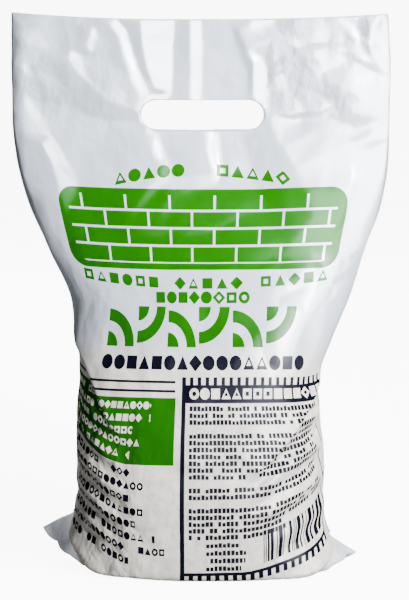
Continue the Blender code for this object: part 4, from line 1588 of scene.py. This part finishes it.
@dataclass(frozen=True)
class FilmTexture:
    """Node groups for the film's crinkle and welds, in film millimetres.

    Attributes:
        layers: The layers of the crinkle.
        drift: How far the noise bends the facets.
        grain: Height of the fine grain.
        welds: Of each weld line, the place along the film, the width and the depth.
    """

    layers: tuple[Facets, ...] = (
        Facets("CHEBYCHEV", 26.0, 0.10, 0.0),
        Facets("MANHATTAN", 14.0, 0.13, 28.0),
        Facets("CHEBYCHEV", 7.0, 0.12, 63.0),
        Facets("MANHATTAN", 3.6, 0.06, 11.0),
    )
    drift: float = 9.0
    grain: float = 0.03
    welds: tuple[tuple[float, float, float], ...] = ((4.2, 0.9, 0.5), (8.0, 0.6, 0.25))

    def crinkle_group(self) -> bpy.types.NodeTree:
        """Builds the group that gives sharp small creases for a place, by how crushed it is."""
        group = NodeGroup("film_crinkle", "Height", ("Crushed",), ("Place",))
        desk, place = group.desk, group.given["Place"]
        moved = desk.add("ShaderNodeVectorMath", operation="MULTIPLY_ADD")
        bending = desk.noise(place, 0.035, 2.0, "Color")
        for socket, value in zip(moved.inputs, (bending, (self.drift, self.drift, 0.0), place)):
            desk.feed(socket, value)
        height: SocketValue = 0.0
        for layer in self.layers:
            lean = desk.add("ShaderNodeMapping")
            desk.feed(lean.inputs["Vector"], moved.outputs["Vector"])
            lean.inputs["Location"].default_value = (layer.turned, 2 * layer.turned, 0.0)
            lean.inputs["Rotation"].default_value = (0.0, 0.0, math.radians(layer.turned))
            lean.inputs["Scale"].default_value = (1.0, 0.6, 1.0)
            facets = desk.add(
                "ShaderNodeTexVoronoi", voronoi_dimensions="2D", feature="F1", distance=layer.metric
            )
            desk.feed(facets.inputs["Vector"], lean.outputs["Vector"])
            facets.inputs["Scale"].default_value = 1.0 / layer.size
            height = desk.scaled(facets.outputs["Distance"], layer.size * layer.slope, height)
        grain = desk.times(desk.noise(place, 0.9, 2.0), self.grain)
        return group.finish(desk.plus(desk.times(height, group.given["Crushed"]), grain))

    def weld_group(self) -> bpy.types.NodeTree:
        """Builds the group that gives the grooves of the weld lines for a place along the film."""
        group = NodeGroup("film_welds", "Height", ("Along",))
        desk = group.desk
        grooves: SocketValue = 0.0
        for along, wide, deep in self.welds:
            away = desk.size(desk.minus(group.given["Along"], along))
            grooves = desk.plus(grooves, desk.times(desk.ramp(away, wide, 0.0), -deep))
        return group.finish(grooves)


@dataclass
class FilmPlace:
    """Where a point lies on the flat film, as sockets in a material, in millimetres.

    Attributes:
        desk: Where the nodes go.
        half_width: Half the width of the flat film.
        length: Its length.
    """

    desk: NodeDesk
    half_width: float
    length: float

    def __post_init__(self) -> None:
        """Works the place out from the UV map of the unrolled film tube."""
        desk = self.desk
        tube_x, tube_y, _ = desk.parts(desk.add("ShaderNodeUVMap", uv_map="film_tube").outputs["UV"])
        self.across = desk.scaled(tube_x, 4 * self.half_width, -self.half_width)
        self.along = desk.times(tube_y, self.length)
        self.point = desk.vector(self.across, self.along)
        self.front = desk.below(tube_x, 0.5)
        from_fold = desk.size(desk.minus(self.across, self.half_width))
        self.sideways = desk.minus(self.half_width, from_fold)
        self.folded = desk.size(self.sideways)


@dataclass(frozen=True)
class FilmFinish:
    """White plastic film, glossy and a little crinkled, with powder behind its lower part and a painted
    glow on its ears.

    Attributes:
        clear: Colour where there is nothing behind it.
        backed: Colour where powder lies behind it.
        mottled: Colour of the spots where that powder is caked.
        mottling: How strong the spots are.
        ears: Colour of the thin flat ears.
        painted_ear_glow: Colour of the painted glow on the ears, an emission that stands in for light
            coming through them from behind.
        powder_top: Along, from the level above the powder to where it backs the film.
        ink_coat: How much of the gloss the ink takes.
        powder_coat: How much of the gloss is lost where powder backs the film.
        calm: How crushed the film is at least, from 0 to 1.
        left_crushed: How crushed the top left corner is.
        waist_crushed: How crushed the sides are at the waist and below.
    """

    clear: tuple[float, float, float] = (0.53, 0.58, 0.66)
    backed: tuple[float, float, float] = (0.78, 0.74, 0.68)
    mottled: tuple[float, float, float] = (0.47, 0.455, 0.43)
    mottling: float = 0.42
    ears: tuple[float, float, float] = (0.60, 0.62, 0.65)
    # Painted glow of the ears, given as emission.
    painted_ear_glow: tuple[float, float, float] = (0.30, 0.31, 0.34)
    powder_top: Span = (250.0, 205.0)
    ink_coat: float = 0.85
    powder_coat: float = 0.7
    calm: float = 0.26
    left_crushed: float = 0.22
    waist_crushed: float = 0.8

    def build(self, half_width: float, length: float) -> bpy.types.Material:
        """Builds the material.

        Args:
            half_width: Half the width of the flat film, in millimetres.
            length: Length of the flat film, in millimetres.

        Returns:
            The material.
        """
        material, desk, shader = new_material(
            "printed_white_film",
            Roughness=0.34,
            IOR=1.5,
            Specular_IOR_Level=0.0,
            Coat_Roughness=0.23,
            Coat_IOR=1.6,
            Emission_Strength=1.0,
        )
        at = FilmPlace(desk, half_width, length)
        drift = desk.times(desk.minus(desk.noise(at.point, 0.02, 2.0), 0.5), 30.0)
        powder = desk.ramp(desk.plus(at.along, drift), *self.powder_top)
        ear = desk.ramp(desk.minus(at.along, desk.times(at.folded, 0.9)), -36.0, -50.0)
        # Painted glow: the ears emit light in place of light coming through them from behind.
        desk.feed(shader["Emission Color"], self.paint_ear_glow(at, ear))
        base = desk.blend(ear, self.backing(at, powder), self.ears)
        design = PrintedDesign(desk, at.across, at.along)
        printed: SocketValue = 0.0
        for ink, mask in ((Ink.GREEN, design.green()), (Ink.NAVY, design.navy())):
            mask = desk.times(mask, at.front)
            base = desk.blend(mask, base, ink.value)
            printed = desk.most(printed, mask)
        desk.feed(shader["Base Color"], base)
        coats = (desk.scaled(printed, -self.ink_coat, 1.0), desk.scaled(powder, -self.powder_coat, 1.0))
        desk.feed(shader["Coat Weight"], desk.times(*coats))
        desk.feed(shader["Normal"], self.relief(at))
        return material

    def backing(self, at: FilmPlace, powder: Socket) -> Socket:
        """The film's colour before the print, by how far powder lies close behind it."""
        base = at.desk.blend(powder, self.clear, self.backed)
        mottle = at.desk.ramp(at.desk.noise(at.point, 0.16, 6.0), 0.40, 0.68)
        return at.desk.blend(at.desk.times(mottle, powder, self.mottling), base, self.mottled)

    def paint_ear_glow(self, at: FilmPlace, ear: Socket) -> Socket:
        """Painted glow on the ears: an emission, patchy by cells, that stands in for light through their
        crumpled layers.
        """
        layers = at.desk.add("ShaderNodeTexVoronoi", distance="MANHATTAN")
        at.desk.feed(layers.inputs["Vector"], at.point)
        layers.inputs["Scale"].default_value = 0.055
        # Painted glow: brightest at the middle of each cell of the pattern and dimmer towards its edges.
        through = at.desk.times(ear, at.desk.scaled(layers.outputs["Distance"], -0.9, 1.35))
        return at.desk.blend(through, (0.0, 0.0, 0.0), self.painted_ear_glow)

    def relief(self, at: FilmPlace) -> Socket:
        """The film's crinkle and welds, as a normal.

        Args:
            at: The place on the film.

        Returns:
            The normal.
        """
        desk = at.desk
        left_corner = desk.times(desk.ramp(at.sideways, -40.0, -85.0), self.left_crushed)
        corner = desk.most(desk.ramp(at.sideways, 30.0, 70.0), left_corner)
        corner = desk.times(corner, desk.ramp(at.along, 368.0, 420.0))
        waist = desk.times(desk.ramp(at.along, 225.0, 170.0), desk.ramp(at.folded, 15.0, 75.0))
        most = desk.most(corner, desk.times(waist, self.waist_crushed))
        crushed = desk.scaled(most, 1.0 - self.calm, self.calm)
        texture = FilmTexture()
        crinkle = desk.use(texture.crinkle_group(), Place=at.point, Crushed=crushed)
        return desk.bump(desk.plus(crinkle, desk.use(texture.weld_group(), Along=at.along)))


@dataclass(frozen=True)
class PowderFinish:
    """The finish of the loose cement powder.

    Attributes:
        fine: Colour of the fine powder.
        caked: Colour where it has caked.
        lump: Height of the lumps, in millimetres.
        grain: Height of the grain, in millimetres.
    """

    fine: tuple[float, float, float] = (0.82, 0.80, 0.76)
    caked: tuple[float, float, float] = (0.60, 0.58, 0.54)
    lump: float = 1.6
    grain: float = 0.25

    def build(self) -> bpy.types.Material:
        """Builds the material, with lumps of 15 mm and grain of 1.5 mm."""
        material, desk, shader = new_material(
            "white_cement_powder", Roughness=0.95, Specular_IOR_Level=0.1
        )
        place = desk.add("ShaderNodeTexCoord").outputs["Object"]
        lumps, grain = desk.noise(place, 65.0, 4.0), desk.noise(place, 650.0, 2.0)
        desk.feed(shader["Base Color"], desk.blend(desk.ramp(lumps, 0.40, 0.66), self.fine, self.caked))
        height = desk.scaled(lumps, self.lump, desk.times(grain, self.grain))
        desk.feed(shader["Normal"], desk.bump(height))
        return material


@dataclass(frozen=True)
class Softbox:
    """One soft studio light.

    Attributes:
        name: Its name.
        place: Where it hangs, in metres.
        size: Its width and height, in metres.
        power: In watts.
        aim: The point it faces.
        spread: How wide its grid lets the light fan out, in degrees.
    """

    name: str
    place: tuple[float, float, float]
    size: tuple[float, float]
    power: float
    aim: tuple[float, float, float] = (0.0, 0.0, 0.2)
    spread: float = 180.0

    def hang(self) -> None:
        """Adds the light to the scene."""
        lamp = bpy.data.lights.new(self.name, "AREA")
        lamp.energy = self.power
        lamp.shape = "RECTANGLE"
        lamp.size, lamp.size_y = self.size
        lamp.spread = math.radians(self.spread)
        holder = bpy.data.objects.new(self.name, lamp)
        bpy.context.scene.collection.objects.link(holder)
        holder.location = self.place
        way = Vector(self.aim) - Vector(self.place)
        holder.rotation_euler = way.to_track_quat("-Z", "Y").to_euler()


@dataclass(frozen=True)
class Studio:
    """The stage: a pale floor, soft lights and the camera at the photo's angle.

    Attributes:
        elevation: How far the camera looks down, in degrees.
        distance: From the camera to its target, in metres.
        target: What the camera looks at.
        frame_height: Height of what the camera sees at the target, in metres.
        sensor: Height of the camera's sensor, in millimetres.
        surroundings: Brightness of the room.
        backdrop: How bright the floor and the room behind it look to the camera.
        floor_glow: How bright the lit side of the floor is in the film's sheen.
        card: How bright the reflector card at the front right is in the film's sheen.
        softboxes: The soft lights.
    """

    elevation: float = 9.0
    distance: float = 1.6
    target: tuple[float, float, float] = (0.00315, 0.0, 0.1886)
    frame_height: float = 0.4294
    sensor: float = 36.0
    surroundings: float = 0.08
    backdrop: float = 9.0
    floor_glow: float = 100.0
    card: float = 85.0
    softboxes: tuple[Softbox, ...] = (
        Softbox("side_softbox", (1.3, -1.15, 1.0), (0.4, 0.55), 54.0),
        Softbox("key_softbox", (0.95, -1.45, 0.95), (0.14, 0.4), 46.0),
        Softbox("top_softbox", (0.75, -0.5, 1.5), (0.6, 0.25), 20.0),
        Softbox("back_softbox", (-0.5, 1.5, 0.9), (0.6, 0.5), 22.0),
        Softbox("gridded_softbox", (0.75, -1.1, 0.8), (0.2, 0.2), 1.2, (0.17, 0.0, 0.40), 26.0),
    )

    def build(self) -> None:
        """Sets the floor, the room, the lights and the camera."""
        self.floor()
        self.room()
        for softbox in self.softboxes:
            softbox.hang()
        self.camera()

    def camera(self) -> None:
        """Sets the camera."""
        lens = bpy.data.cameras.new("photo_camera")
        lens.sensor_fit = "VERTICAL"
        lens.sensor_height = self.sensor
        lens.lens = self.sensor * self.distance / self.frame_height
        camera = bpy.data.objects.new("photo_camera", lens)
        bpy.context.scene.collection.objects.link(camera)
        tilt = math.radians(self.elevation)
        back = Vector((0.0, -math.cos(tilt), math.sin(tilt)))
        camera.location = Vector(self.target) + back * self.distance
        camera.rotation_euler = (-back).to_track_quat("-Z", "Y").to_euler()
        bpy.context.scene.camera = camera

    def floor(self) -> None:
        """Lays the pale floor."""
        mesh = bpy.data.meshes.new("pale_floor")
        sheet = bmesh.new()
        bmesh.ops.create_grid(sheet, x_segments=1, y_segments=1, size=40.0)
        sheet.to_mesh(mesh)
        sheet.free()
        floor = bpy.data.objects.new("pale_floor", mesh)
        bpy.context.scene.collection.objects.link(floor)
        paint, desk, shader = new_material(
            "pale_floor", Roughness=0.9, Specular_IOR_Level=0.1, Emission_Color=(1.0, 1.0, 1.0, 1.0)
        )
        path = desk.add("ShaderNodeLightPath")
        seen, mirrored = path.outputs["Is Camera Ray"], path.outputs["Is Glossy Ray"]
        desk.feed(shader["Base Color"], desk.blend(seen, (0.16, 0.16, 0.16), (0.9, 0.9, 0.9)))
        x, y, _ = desk.parts(desk.add("ShaderNodeTexCoord").outputs["Object"])
        to_right = desk.ramp(desk.over(x, desk.times(y, -1.0)), -0.02, 0.2)
        glow = desk.times(mirrored, to_right, desk.ramp(y, -0.8, -1.6), self.floor_glow)
        desk.feed(shader["Emission Strength"], desk.scaled(seen, self.backdrop, glow))
        floor.data.materials.append(paint)

    def room(self) -> None:
        """Sets the surroundings, with a reflector card that only the film's sheen shows."""
        world = bpy.data.worlds.new("studio")
        bpy.context.scene.world = world
        world.use_nodes = True
        desk = NodeDesk(world.node_tree)
        room = world.node_tree.nodes["Background"]
        room.inputs["Color"].default_value = (0.90, 0.95, 1.0, 1.0)
        x, y, z = desk.parts(desk.add("ShaderNodeTexCoord").outputs["Generated"])
        card = desk.times(desk.ramp(x, -0.02, 0.2), desk.ramp(z, 0.45, 0.2), desk.ramp(y, -0.5, -0.8))
        path = desk.add("ShaderNodeLightPath")
        sheen = desk.times(card, path.outputs["Is Glossy Ray"], self.card)
        room_light = desk.scaled(desk.ramp(y, 0.2, -0.8), self.surroundings, 0.01)
        backdrop = desk.scaled(path.outputs["Is Camera Ray"], self.backdrop, room_light)
        desk.feed(room.inputs["Strength"], desk.plus(backdrop, sheen))


def main() -> None:
    """Builds the bag and the stage around it."""
    logging.basicConfig(level=logging.INFO, format="%(message)s")
    form = BodyForm()
    film = FilmBag(form)
    bag = film.build()
    bag.data.materials.append(FilmFinish().build(film.half_width, form.length))
    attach(bag, "root")
    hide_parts("film_bag")
    LOG.info("%s: %d faces, film length %.1f mm", bag.name, len(bag.data.polygons), form.length)
    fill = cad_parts["cement_fill"]
    powder = PowderFinish().build()
    for held in fill.material_slots:
        held.material = powder
    LOG.info("%s: %d faces", fill.name, len(fill.data.polygons))
    studio = Studio()
    studio.build()
    LOG.info("stage: floor, camera and %d softboxes", len(studio.softboxes))


if __name__ == "__main__":
    main()
